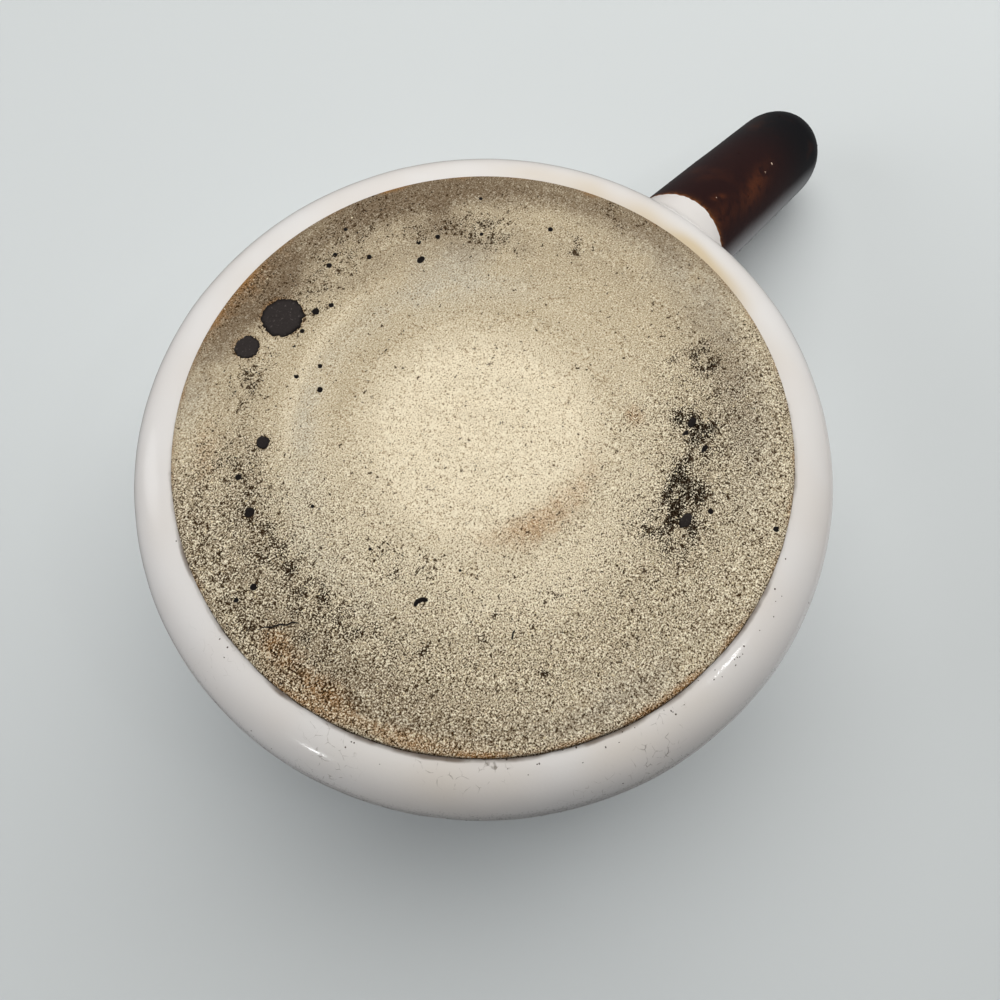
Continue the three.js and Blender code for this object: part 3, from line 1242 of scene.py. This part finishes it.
@dataclass(frozen=True)
class Burn:
    """A round patch of burnt-on char, by the pixel of its middle and its width in millimetres."""

    name: str
    across: float
    down: float
    width: float
    stretch: float = 1.0
    shares: tuple = (1.0, 0.97, 0.9, 0.75, 0.55, 0.3, 0.1)
    rises: tuple = (-0.25, 0.10, 0.22, 0.26, 0.24, 0.22, 0.22)

    @property
    def around(self) -> int:
        """Places round the rim."""
        return 64 if self.width > 4 else 20

    def heart(self) -> np.ndarray:
        """How ashen each point of the patch is, its two poles last."""
        rings = ease(1 - np.array(self.shares), 0.02, 0.2) * ease(np.array(self.width), 1.5, 7.0)
        return np.concatenate([np.repeat(rings, self.around), [0, rings[-1]]])

    def halo(self, camera: PhotoCamera, places: np.ndarray) -> np.ndarray:
        """How scorched the clay is round the patch.

        Args:
            camera: camera that places the patch.
            places: x and y of each place, in millimetres.

        Returns:
            A share for each place.
        """
        gap = np.linalg.norm(places - camera.on_foot(self.across, self.down), axis=1)
        return np.exp(-(np.maximum(gap - self.width / 2, 0) ** 2))

    def surface(self, camera: PhotoCamera, lift: float, seed: int) -> tuple[np.ndarray, list]:
        """Build the patch as a low crust with a ragged edge.

        Args:
            camera: camera that places the patch.
            lift: height of the clay under it.
            seed: fixes its ragged edge.

        Returns:
            Points and faces of the closed crust.
        """
        middle = camera.on_foot(self.across, self.down)
        rim = spokes(ring_angles(self.around))
        ragged = 1 + uneven(rim, (0.03, 1.2, seed), (0.028, 0.35, seed + 1))
        shares = np.array(self.shares)
        reach = self.width / 2 * shares[:, None] * ragged
        flat = reach[..., None] * rim * np.array([self.stretch, 1 / self.stretch])
        proud = np.array(self.rises)[:, None] * min(1, self.width / 4)
        proud = proud + 0.04 * ripple(flat + middle, 1.4, seed + 2) * (shares[:, None] < 0.95)
        top = np.concatenate([flat + middle, np.broadcast_to(lift - proud, flat.shape[:2])[..., None]], -1)
        poles = ([middle[0], middle[1], lift + 0.25], [middle[0], middle[1], top[-1, :, 2].mean()])
        return skin(top, False, poles)


@dataclass(frozen=True)
class Stroke:
    """A drawn-out mark on the foot, such as a crack, by the pixels that it passes."""

    name: str
    passes: tuple
    width: float
    proud: float

    def surface(self, camera: PhotoCamera, lift: float) -> tuple[np.ndarray, list]:
        """Build the mark as a thin closed ridge.

        Args:
            camera: camera that places the mark.
            lift: height of the clay under it.

        Returns:
            Points and faces of the closed ridge.
        """
        knots = np.array([camera.on_foot(*spot) for spot in self.passes])
        line = np.linspace(0, len(knots) - 1, 6 * len(knots))
        path = np.stack([np.interp(line, np.arange(len(knots)), knots[:, i]) for i in (0, 1)], 1)
        way = np.gradient(path, axis=0)
        way /= np.linalg.norm(way, axis=1)[:, None]
        side = np.column_stack([-way[:, 1], way[:, 0]])
        taper = np.sqrt(np.clip(1 - np.linspace(-1, 1, len(path)) ** 4, 0.03, 1))
        turn = ring_angles(10)
        spread = self.width / 2 * taper[:, None] * np.cos(turn)
        flat = path[:, None] + side[:, None] * spread[..., None]
        rise = lift - self.proud * taper[:, None] * np.sin(turn)
        rings = np.concatenate([flat, rise[..., None]], -1)
        ends = [[*path[i], lift] for i in (0, -1)]
        return skin(rings, False, (ends[0], ends[1]))


def foot_height(clay: bpy.types.Object, spot: np.ndarray) -> float:
    """Height of the foot's clay.

    Args:
        clay: the clay body.
        spot: x and y of the place, in millimetres.

    Returns:
        Height in millimetres, or nought beside the foot.
    """
    x, y = spot * MM
    struck, where, _, _ = clay.ray_cast(Vector((x, y, -1.0)), Vector((0, 0, 1)))
    return where.z / MM if struck else 0.0


@dataclass
class FootMarks:
    """What years of use left on the foot: soot, rust, pale clay and burnt-on char."""

    smoke: tuple = (
        Stain("far_edge", 500, 188, 6, 50, 0.60),
        Stain("far_left_edge", 375, 207, 8, 32, 0.55),
        Stain("far_right_edge", 655, 234, 6, 30, 0.32),
        Stain("far_smudge", 440, 206, 4, 4, 0.40),
        Stain("far_middle", 441, 226, 6, 10, 0.45),
        Stain("burn", 268, 284, 9, 14, 1.0),
        Stain("burn_band", 225, 330, 8, 26, 0.70),
        Stain("far_left", 345, 262, 10, 24, 0.12),
        Stain("right_outer", 735, 375, 10, 36, 0.50),
        Stain("right_soot", 688, 470, 7, 26, 0.20),
        Stain("left_ring", 247, 500, 7, 40, 0.30),
        Stain("left_outer", 200, 540, 8, 30, 0.30),
        Stain("near_left", 310, 660, 10, 40, 0.38),
        Stain("near_right", 610, 705, 9, 40, 0.26),
        Stain("near", 405, 703, 9, 26, 0.26),
        Stain("near_edge", 480, 738, 4, 60, 0.25),
        Stain("far_inner", 450, 252, 8, 34, 0.20),
    )
    soot: tuple = (
        Stain("right_top", 702, 357, 4, 8, 0.60),
        Stain("right_inner", 673, 363, 3, 4, 0.50),
        Stain("right_black", 692, 423, 4, 5, 0.9),
        Stain("right_beside", 705, 440, 5, 7, 0.6),
        Stain("right_line", 683, 470, 4, 14, 0.75),
        Stain("right_low", 682, 500, 6, 9, 0.85),
        Stain("right_foot", 668, 525, 9, 10, 0.6),
        Stain("right_outer", 735, 410, 10, 40, 0.20),
        Stain("right_edge", 743, 330, 3, 4, 0.7),
        Stain("far_edge", 480, 196, 4, 40, 0.15),
        Stain("far_left_edge", 375, 207, 6, 28, 0.30),
        Stain("far_middle", 441, 226, 5, 9, 0.95),
        Stain("far_spots", 488, 232, 6, 9, 0.80),
        Stain("far_spot_right", 578, 246, 2.5, 5, 0.6),
        Stain("far_right", 614, 214, 4, 7, 0.55),
        Stain("burn_smoke", 262, 290, 7, 8, 0.40),
        Stain("burn_side", 320, 285, 9, 12, 0.45),
        Stain("burn_beyond", 350, 240, 8, 16, 0.35),
        Stain("burn_trail", 250, 378, 5, 12, 0.70),
        Stain("left_ring", 242, 480, 5, 16, 0.50),
        Stain("left_low", 264, 535, 6, 14, 0.28),
        Stain("near_left_ring", 290, 575, 6, 14, 0.28),
        Stain("near_ring", 345, 622, 6, 22, 0.36),
        Stain("left_outer", 205, 545, 9, 26, 0.22),
        Stain("near_left_outer", 280, 655, 9, 24, 0.40),
        Stain("inner_arc", 588, 378, 2.0, 10, 0.55),
        Stain("near_patch", 486, 619, 2.5, 2.5, 0.6),
        Stain("near_spot", 461, 570, 2.2, 2.6, 0.7),
        Stain("near_inner", 402, 562, 6, 9, 0.40),
        Stain("near_pores", 560, 600, 1.8, 4.5, 0.55),
        Stain("near_star", 546, 670, 2.0, 2.5, 0.6),
        Stain("near_brown", 424, 655, 2.5, 3.0, 0.5),
    )
    rust: tuple = (
        Stain("middle_patch", 548, 517, 7, 15, 0.60),
        Stain("middle_low", 505, 536, 6, 14, 0.38),
        Stain("middle_right", 588, 475, 6, 12, 0.34),
        Stain("right_spot", 634, 415, 4, 5, 0.70),
        Stain("near_left", 275, 645, 6, 8, 0.75),
        Stain("near_left_low", 318, 688, 5, 12, 0.75),
        Stain("near_edge_left", 400, 738, 3.5, 24, 0.65),
        Stain("near_edge_right", 670, 700, 2.5, 20, 0.80),
        Stain("far_left_edge", 252, 281, 4, 14, 0.36),
        Stain("far_left_tail", 216, 325, 4.5, 14, 0.34),
        Stain("burn_side", 268, 284, 8, 14, 0.16),
        Stain("left_outer", 205, 450, 6, 14, 0.50),
    )
    pale: tuple = (
        Stain("left_arc", 288, 420, 2.8, 42, 0.35),
        Stain("far_left_arc", 340, 315, 3, 32, 0.30),
        Stain("near_right", 560, 600, 12, 30, 0.25),
        Stain("inner_left", 347, 384, 4, 24, -0.35),
        Stain("far_middle", 500, 300, 14, 50, -0.25),
        Stain("inner_far_left", 379, 315, 5, 18, -0.30),
    )
    grey: tuple = (
        Stain("left_arc", 305, 418, 4, 28, 0.9),
        Stain("far_arc", 443, 288, 6, 26, 1.0),
        Stain("far_high", 455, 258, 6, 16, 0.9),
        Stain("right_far", 690, 275, 7, 26, 0.7),
        Stain("right_outer", 745, 400, 7, 40, 0.55),
        Stain("near_right_edge", 615, 705, 8, 26, 0.7),
        Stain("near_left_arc", 320, 560, 5, 30, 0.5),
        Stain("left_edge", 195, 390, 6, 20, 0.6),
    )
    burns: tuple = (
        Burn("large", 282.5, 317, 14.6, 1.02),
        Burn("second", 246.5, 346.5, 8.6, 1.01),
        Burn("third", 262.6, 441.8, 4.4),
        Burn("beside_large", 315.4, 310.6, 2.6),
        Burn("beyond_large", 330.8, 304, 1.9),
        Burn("under_large", 301.8, 330.3, 1.7),
        Burn("below_large", 293.6, 345.2, 1.1),
        Burn("inner_a", 296, 375.8, 1.7),
        Burn("inner_b", 319.5, 365.3, 1.6),
        Burn("inner_c", 319.5, 388.8, 2.0),
        Burn("far_a", 420.8, 258.7, 2.8, 1.15),
        Burn("far_b", 418.6, 241.6, 1.7),
        Burn("far_c", 369.3, 256.5, 1.8),
        Burn("far_d", 328.9, 264.7, 2.0),
        Burn("far_e", 335, 254.2, 1.7),
        Burn("far_f", 345.5, 229, 1.5),
        Burn("far_g", 437.6, 236.2, 1.8),
        Burn("far_h", 480.8, 198.4, 1.3),
        Burn("far_i", 481.5, 233.5, 1.4),
        Burn("far_j", 550.5, 228.6, 1.9),
        Burn("left_a", 249.3, 512, 3.2, 1.1),
        Burn("left_b", 238, 477, 2.0),
        Burn("left_c", 312, 505.7, 1.2),
        Burn("near_a", 253, 586.7, 2.2),
        Burn("near_b", 236, 600, 1.6),
        Burn("near_c", 369.6, 548.5, 1.2),
        Burn("near_spot", 460, 570, 1.0),
        Burn("right_patch", 686, 520, 4.4, 1.3),
        Burn("right_a", 711, 511, 1.9),
        Burn("right_edge", 776.5, 529, 1.9),
        Burn("right_mid_a", 692, 422, 3.4, 1.3),
        Burn("right_mid_b", 705, 448, 2.2, 1.4),
        Burn("right_mid_c", 686, 433, 2.0, 1.4),
    )
    strokes: tuple = (
        Stroke("comma", ((414, 606), (417, 601), (422, 599), (428, 600)), 1.5, 0.25),
        Stroke(
            "crack",
            ((256, 630), (264, 627), (272, 627), (280, 624), (286, 625), (292, 622), (299, 623)),
            0.5,
            0.06,
        ),
        Stroke("nick", ((512, 640), (513, 633), (515, 630)), 0.6, 0.06),
    )
    grain_free: float = 0.15
    grain_power: float = 1.5

    def paint_on(self, clay: bpy.types.Object, places: np.ndarray, camera: PhotoCamera) -> None:
        """Paint the foot's masks on the clay.

        Args:
            clay: the clay body.
            places: x and y of its points.
            camera: camera that places the stains.
        """
        reach = np.linalg.norm(places, axis=1)
        sway = 1 + 0.35 * ripple(places, 7.0, 51)
        wander = places + 1.8 * np.column_stack([ripple(places, 14.0, 52), ripple(places, 14.0, 53)])
        total = {
            name: stained(stains, camera, where)
            for name, stains, where in (
                ("smoke", self.smoke, places),
                ("soot", self.soot, wander),
                ("rust", self.rust, places),
                ("cream", self.pale, places),
                ("grey", self.grey, places),
            )
        }
        right, far = (
            places @ camera.to_part(np.array(way))[:2] for way in ((1.0, 0.0, 0.0), (0.0, 1.0, 0.0))
        )
        halo = sum(burn.halo(camera, places) for burn in self.burns[:3])
        edge = ease(reach, 97.0, 99.6)
        ring = ease(reach, 64, 74) * (1 - 0.5 * ease(reach, 82, 92))
        calm = 0.82 * ease(0.85 * far - 0.15 * right, -12, 34) + 0.75 * (1 - ease(reach, 26, 66))
        calm += 0.3 * total["grey"] + 0.4 * np.maximum(total["cream"], 0) - 0.6 * total["rust"]
        masks = {
            "smoke": total["smoke"] + 0.06 * ring + 0.25 * edge + 0.15 * ease(far, 30, 66),
            "soot": total["soot"] * sway + 0.08 * ring + 0.1 * edge + 0.5 * halo,
            "rust": total["rust"] + 0.5 * edge * (0.6 + 0.4 * ripple(places, 20.0, 54)) + 0.4 * halo,
            "cream": 0.40 * (1 - ease(reach, 50, 70)) + 0.50 * (1 - ease(reach, 24, 46)) + total["cream"],
            "grey": total["grey"],
            "grit": np.clip(1 - calm, 0.12, 1),
        }
        for name, values in masks.items():
            paint(clay, name, np.clip(values, 0, 1))

    def bed(self, clay: bpy.types.Object, bowl: Bowl) -> bpy.types.Object:
        """Copy the foot's face, with the masks that loose grains follow.

        Args:
            clay: the clay body with its painted masks.
            bowl: sizes of the foot.

        Returns:
            The copy, which is for strewing only.
        """
        count = bowl.foot_rings * bowl.foot_sides
        face = np.array([v.co / MM for v in clay.data.vertices[:count]])
        bed = mesh_piece("foot_bed", [skin(face.reshape(bowl.foot_rings, bowl.foot_sides, 3), False)])
        for grain in (Grain.GRIT, Grain.SOOT):
            values = np.zeros(len(clay.data.vertices), np.float32)
            clay.data.attributes[grain.value].data.foreach_get("value", values)
            paint(bed, grain.value, np.clip(values[:count] - self.grain_free, 0, 1) ** self.grain_power)
        return bed

    def crusts(self, camera: PhotoCamera, clay: bpy.types.Object) -> bpy.types.Object:
        """Build all char and cracks as one piece.

        Args:
            camera: camera that places the marks.
            clay: clay body that carries them.

        Returns:
            The finished piece.
        """
        parts = [
            burn.surface(camera, foot_height(clay, camera.on_foot(burn.across, burn.down)), 60 + 3 * i)
            for i, burn in enumerate(self.burns)
        ]
        parts += [
            stroke.surface(camera, foot_height(clay, camera.on_foot(*stroke.passes[1])))
            for stroke in self.strokes
        ]
        piece = mesh_piece("char_marks", parts)
        paint(piece, "heart", np.concatenate([burn.heart() for burn in self.burns]))
        return piece


@dataclass
class HeelMarks:
    """What shows on the white heel: thin warm glaze, a dirty line at the foot that also paints the crease's
    shade, and a rubbed grey band on the near belly that is partly painted shade.
    """

    foot_edge: float = 100.5
    line: float = 1.1
    thin: tuple = (
        Stain("far_right", 698, 254, 4.5, 24, 0.95),
        Stain("far", 595, 188, 7.0, 34, 0.45),
        Stain("far_left", 235, 285, 5.0, 60, 0.10),
        Stain("right", 800, 480, 14.0, 80, 0.18),
        Stain("near", 400, 775, 9.0, 50, 0.24),
        Stain("near_right", 650, 735, 6.0, 40, 0.22),
    )
    # Dirt along the foot edge, widened to paint the shade in the crease there.
    grime_and_crease_shade: tuple = (
        Stain("left", 175, 500, 6, 50, 0.5),
        Stain("near_left", 250, 665, 6, 60, 0.6),
        Stain("near", 470, 757, 6, 60, 0.6),
        Stain("near_right", 690, 692, 6, 60, 0.75),
        Stain("right", 795, 470, 6, 50, 0.6),
    )
    chips: tuple = (
        Stain("near_right", 705, 690, 1.6, 34, 1.0),
        Stain("near", 560, 748, 1.8, 40, 0.7),
        Stain("near_left", 300, 720, 2.5, 50, 0.3),
    )

    def paint_on(self, coat: bpy.types.Object, points: np.ndarray, camera: PhotoCamera) -> None:
        """Paint the heel's masks on the white coat.

        Args:
            coat: the white coat.
            points: places of the bowl's part of it, in millimetres.
            camera: camera that places the stains.
        """
        flat, height = points[:, :2], points[:, 2]
        near = -flat @ camera.to_part(np.array([0.0, 1.0, 0.0]))[:2] / np.linalg.norm(flat, axis=1)
        heel = 1 - ease(height, 14, 26)
        belly = ease(height, 8.0, 15.0) * (1 - ease(height, 16, 24))
        line = (height < 3) * np.exp(-(((np.linalg.norm(flat, axis=1) - self.foot_edge) / self.line) ** 2))
        sway = 1 + 0.2 * ripple(points, 24.0, 71)
        specks = stained(self.chips, camera, flat) * heel + 0.25 * belly * ease(near, -0.4, 0.6)
        masks = {
            "thin": stained(self.thin, camera, flat) * heel * sway + 0.2 * ease(height, 99.0, 99.9),
            # dark line at the foot edge: dirt with painted shade in the crease
            "grime_and_crease_shade": stained(self.grime_and_crease_shade, camera, flat) * line * sway,
            "craze": 0.85 * heel * ease(near, 0.45, 0.95) * ease(ripple(points, 30.0, 73), -0.4, 1.6),
            # grey on the near side of the belly: painted shade, together with rubbed glaze
            "wear_and_shade": belly * ease(near, -0.5, 0.8) * (0.8 + 0.12 * ripple(points, 25.0, 72)),
            Grain.SPECK.value: specks,
        }
        for name, values in masks.items():
            paint(coat, name, np.clip(values, 0, 1))


@dataclass(frozen=True)
class GlintDot:
    """A pale dome that is a painted highlight on the handle's glaze, by the pixel it shows at and its width
    in millimetres.
    """

    name: str
    across: float
    down: float
    width: float
    around: int = 10
    steps: tuple = ((1.0, -0.03), (0.8, 0.05), (0.4, 0.09))

    def surface(self, camera: PhotoCamera, coat: bpy.types.Object) -> tuple[np.ndarray, list]:
        """Build the painted highlight as a low pale dome on the coat.

        Args:
            camera: camera that places the painted highlight.
            coat: the handle's coat.

        Returns:
            Points and faces of the closed dome.
        """
        where, facing, _ = camera.strike(coat, self.across, self.down)
        middle, out = np.array(where) / MM, np.array(facing)
        side = np.array(facing.orthogonal().normalized())
        flank = np.cross(out, side)
        turn = ring_angles(self.around)[:, None]
        rim = self.width / 2 * (np.cos(turn) * side + np.sin(turn) * flank)
        rings = np.stack([middle + rim * share + out * lift for share, lift in self.steps])
        return skin(rings, False, (middle - out * 0.1, middle + out * self.steps[-1][1]))


# Pale domes that paint small highlights on the handle's glaze.
HANDLE_GLINT_DOTS = (
    GlintDot("upper_glint_dot", 771.8, 163.6, 1.2),
    GlintDot("lower_glint_dot", 765.4, 172.2, 0.9),
    GlintDot("scrape_end_glint", 716.5, 197.6, 0.6),
)
HANDLE_STREAKS = (
    Streak("red_streak", 754, 188, 22, 9, math.radians(-62), 0.5),
    Streak("root_glow", 716, 222, 22, 10, math.radians(-50), 0.35),
    Streak("pale_scrape", 718, 197, 6, 2.5, math.radians(-8), 0.8),
)


# Stage


@dataclass(frozen=True)
class Softbox:
    """A soft light, placed in the photograph's frame or the part's, in millimetres."""

    name: str
    place: tuple
    aim: tuple
    width: float
    watts: float
    tint: str = "#ffffff"
    by_photo: bool = True
    mirrored: bool = True
    lights_up: bool = True
    tall: float = 1.0

    def light(self, camera: PhotoCamera) -> None:
        """Add the light to the scene.

        Args:
            camera: camera whose frame the light may be placed in.
        """
        spot, target = np.array(self.place, float), np.array(self.aim, float)
        if self.by_photo:
            spot, target = camera.to_part(spot), camera.to_part(target)
        data = bpy.data.lights.new(self.name, "AREA")
        data.shape = "ELLIPSE"
        data.size = self.width * MM
        data.size_y = self.width * self.tall * MM
        data.energy = self.watts
        data.color = linear(self.tint)[:3]
        light = placed(self.name, data)
        light.location = Vector(spot) * MM
        light.rotation_euler = Vector(target - spot).to_track_quat("-Z", "Y").to_euler()
        light.visible_glossy = self.mirrored
        light.visible_diffuse = self.lights_up
        light.visible_camera = False


@dataclass(frozen=True)
class Glint:
    """A small lamp that glints in a glossy piece at a pixel of the photograph."""

    name: str
    across: float
    down: float
    distance: float = 700.0
    width: float = 32.0
    watts: float = 0.16

    def light(self, camera: PhotoCamera, mirror: bpy.types.Object) -> None:
        """Add the lamp where the piece mirrors it to the camera.

        Args:
            camera: camera that sees the glint.
            mirror: glossy piece that it shows in.
        """
        where, facing, sight = camera.strike(mirror, self.across, self.down)
        away = sight.reflect(facing)
        spot = (where + away * self.distance * MM) / MM
        lamp = Softbox(self.name, tuple(spot), tuple(where / MM), self.width, self.watts, by_photo=False)
        lamp.light(camera)


@dataclass
class Stage:
    """Pale floor under the upright pot, pale table against its rim, and soft lights."""

    floor_reach: float = 30000.0
    table_reach: float = 1000.0
    table_height: float = 100.05
    floor_colour: str = "#7c7d7d"
    floor_glow: float = 0.48
    table_colour: str = "#cacfd1"
    sky_tint: str = "#f4f7f9"
    sky_seen: float = 0.675
    sky_light: float = 0.95
    window_bright: float = 0.50
    window_dim: float = 0.07
    window_axis: tuple = (0.36, 0.36, 0.86)
    lights: tuple = (
        Softbox("key", (120, 490, 1020), (0, 0, 0), 1600, 17.3, "#fffdf9", mirrored=False),
        Softbox("left_fill", (-1000, 0, 420), (0, 0, 0), 800, 4.2, mirrored=False),
        Softbox("right_fill", (900, 450, 450), (0, 0, 0), 800, 3.2, mirrored=False),
        Softbox("top_sheet", (0, 0, 1650), (0, 0, 0), 2400, 1.0, by_photo=False, mirrored=False),
        Softbox(
            "top_key", (700, 900, 900), (0, 0, 60), 700, 4.0, "#fffaf2", by_photo=False, mirrored=False
        ),
        Softbox(
            "far_sheet", (424, -735, 899), (0, 0, 50), 600, 5.0, "#fffaf2", by_photo=False, mirrored=False
        ),
        Softbox(
            "side_strip",
            (-404, -866, -292),
            (0, 0, 50),
            260,
            0.45,
            by_photo=False,
            lights_up=False,
            tall=2.2,
        ),
    )
    glints: tuple = (
        Glint("near_left_glint", 314, 752),
        Glint("near_right_glint", 730, 662),
    )

    def paper(self, name: str, colour: str, glow: float = 0.0) -> bpy.types.Material:
        """Matt paper that shows from its front only.

        Args:
            name: name of the material.
            colour: colour of the paper.
            glow: even light of its own.

        Returns:
            The material.
        """
        material, tree, shader = new_material(name)
        sockets = {
            "Base Color": linear(colour),
            "Roughness": 0.9,
            "Specular IOR Level": 0.1,
            "Emission Color": linear(self.sky_tint),
            "Emission Strength": glow,
        }
        fill(tree, shader, sockets)
        back = add(tree, "ShaderNodeNewGeometry").outputs["Backfacing"]
        clear = add(tree, "ShaderNodeBsdfTransparent").outputs[0]
        mixed = add(tree, "ShaderNodeMixShader", {0: back, 1: shader.outputs[0], 2: clear}).outputs[0]
        output = next(node for node in tree.nodes if node.type == "OUTPUT_MATERIAL")
        tree.links.new(mixed, output.inputs["Surface"])
        return material

    def sheet(self, name: str, reach: float, height: float, up: bool, material: bpy.types.Material) -> None:
        """Add a wide level sheet that only the camera sees.

        Args:
            name: name of the sheet.
            reach: half of its width.
            height: where it lies.
            up: whether its front faces up.
            material: finish of the sheet.
        """
        corners = [(x * reach, y * reach, height) for x, y in ((-1, -1), (1, -1), (1, 1), (-1, 1))]
        mesh = bpy.data.meshes.new(name)
        mesh.from_pydata([Vector(c) * MM for c in (corners if up else corners[::-1])], [], [(0, 1, 2, 3)])
        mesh.materials.append(material)
        sheet = placed(name, mesh)
        for ray in ("shadow", "diffuse", "glossy", "transmission"):
            setattr(sheet, "visible_" + ray, False)

    def sky(self) -> None:
        """Give the world a pale backdrop, an even light from above and one window for gloss to show."""
        world = bpy.data.worlds.new("pale_room")
        bpy.context.scene.world = world
        world.use_nodes = True
        tree = world.node_tree
        tree.nodes.clear()
        way = add(tree, "ShaderNodeTexCoord").outputs["Generated"]
        falls = []
        for axis, low, high, least, most in (
            ((0, 0, 1), -0.02, 0.30, 0.02, self.sky_light),
            (self.window_axis, 0.84, 0.985, self.window_dim, self.window_bright),
        ):
            rise = add(tree, "ShaderNodeVectorMath", {0: way, 1: axis}, operation="DOT_PRODUCT")
            inputs = {0: rise.outputs["Value"], 1: low, 2: high, 3: least, 4: most}
            fall = add(tree, "ShaderNodeMapRange", inputs, interpolation_type="SMOOTHSTEP")
            falls.append(fall.outputs[0])
        strength = falls[0]
        ray = add(tree, "ShaderNodeLightPath").outputs
        for kind, own in (("Is Glossy Ray", falls[1]), ("Is Camera Ray", self.sky_seen)):
            strength = add(tree, "ShaderNodeMix", {0: ray[kind], 2: strength, 3: own}).outputs[0]
        light = add(tree, "ShaderNodeBackground", {"Color": linear(self.sky_tint), "Strength": strength})
        add(tree, "ShaderNodeOutputWorld", {"Surface": light.outputs[0]})

    def build(self, camera: PhotoCamera, mirror: bpy.types.Object) -> None:
        """Set the stage.

        Args:
            camera: camera whose frame the lights may be placed in.
            mirror: glossy piece that the glints show in.
        """
        floor = self.paper("floor_paper", self.floor_colour, self.floor_glow)
        self.sheet("floor", self.floor_reach, 0.0, True, floor)
        table = self.paper("table_paper", self.table_colour)
        self.sheet("table", self.table_reach, self.table_height, False, table)
        self.sky()
        for softbox in self.lights:
            softbox.light(camera)
        for glint in self.glints:
            glint.light(camera, mirror)
        bpy.context.scene.view_settings.view_transform = "Standard"


FOOT_GRAINS = (
    (Scatter("clay_grit", Grain.GRIT, 0.10, smallest=0.35, largest=0.85, flat=0.45, seed=3), GRIT),
    (Scatter("soot_flecks", Grain.SOOT, 0.40, smallest=0.25, largest=0.8, flat=0.30, seed=5), SOOT),
)
HEEL_SPECKS = Scatter("iron_specks", Grain.SPECK, 0.09, smallest=0.25, largest=0.75, flat=0.25, seed=7)
HANDLE_PIMPLES = Scatter("glaze_pimples", Grain.PIMPLE, 0.0022, smallest=0.5, largest=1.1, flat=0.4, seed=9)


def main() -> None:
    """Build the camera, the pieces and the stage in order."""
    logging.basicConfig(level=logging.INFO)
    camera = PhotoCamera()
    camera.place()
    bowl = Bowl()
    handle = Handle(bowl)
    marks = FootMarks()

    clay, places = bowl.clay()
    marks.paint_on(clay, places, camera)
    settle(clay, "bare_clay", BareClay().make(), "pot_body")
    settle(marks.crusts(camera, clay), "bare_clay", Char().make())
    bed = marks.bed(clay, bowl)
    for scatter, finish in FOOT_GRAINS:
        material = finish.make()
        settle(scatter.strew(bed, material), "bare_clay", material)
    bpy.data.objects.remove(bed)

    coat = bowl.white_coat()
    white = mesh_piece("white_coat", [coat, handle.white_sleeve()])
    HeelMarks().paint_on(white, coat[0], camera)
    settle(white, "white_glaze", Glaze().make(), "outer_glaze")
    iron = SPECK.make()
    settle(HEEL_SPECKS.strew(white, iron), "white_glaze", iron)
    lining = Glaze(name="white_lining_glaze", blush="#dbd9d7")
    settle(bowl.lining(), "lining_glaze", lining.make(), "inner_glaze")

    brown_glaze = BrownGlaze().make()
    brown = handle.brown_coat(camera, HANDLE_STREAKS)
    settle(brown, "brown_glaze", brown_glaze, "handle_glaze")
    # Pale domes that paint small highlights on the handle.
    glint_domes = mesh_piece("glint_dot_domes", [glint_dot.surface(camera, brown) for glint_dot in HANDLE_GLINT_DOTS])
    settle(glint_domes, "brown_glaze", GLINT_DOT_FINISH.make())
    settle(HANDLE_PIMPLES.strew(brown, brown_glaze), "brown_glaze", brown_glaze)

    for node, finish in (("handle_core", CORE), ("luting_collar", SLIP)):
        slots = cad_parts[node].data.materials
        slots.clear()
        slots.append(finish.make())
        log.info("%s: CAD node kept", node)

    Stage().build(camera, white)


if __name__ == "__main__":
    main()
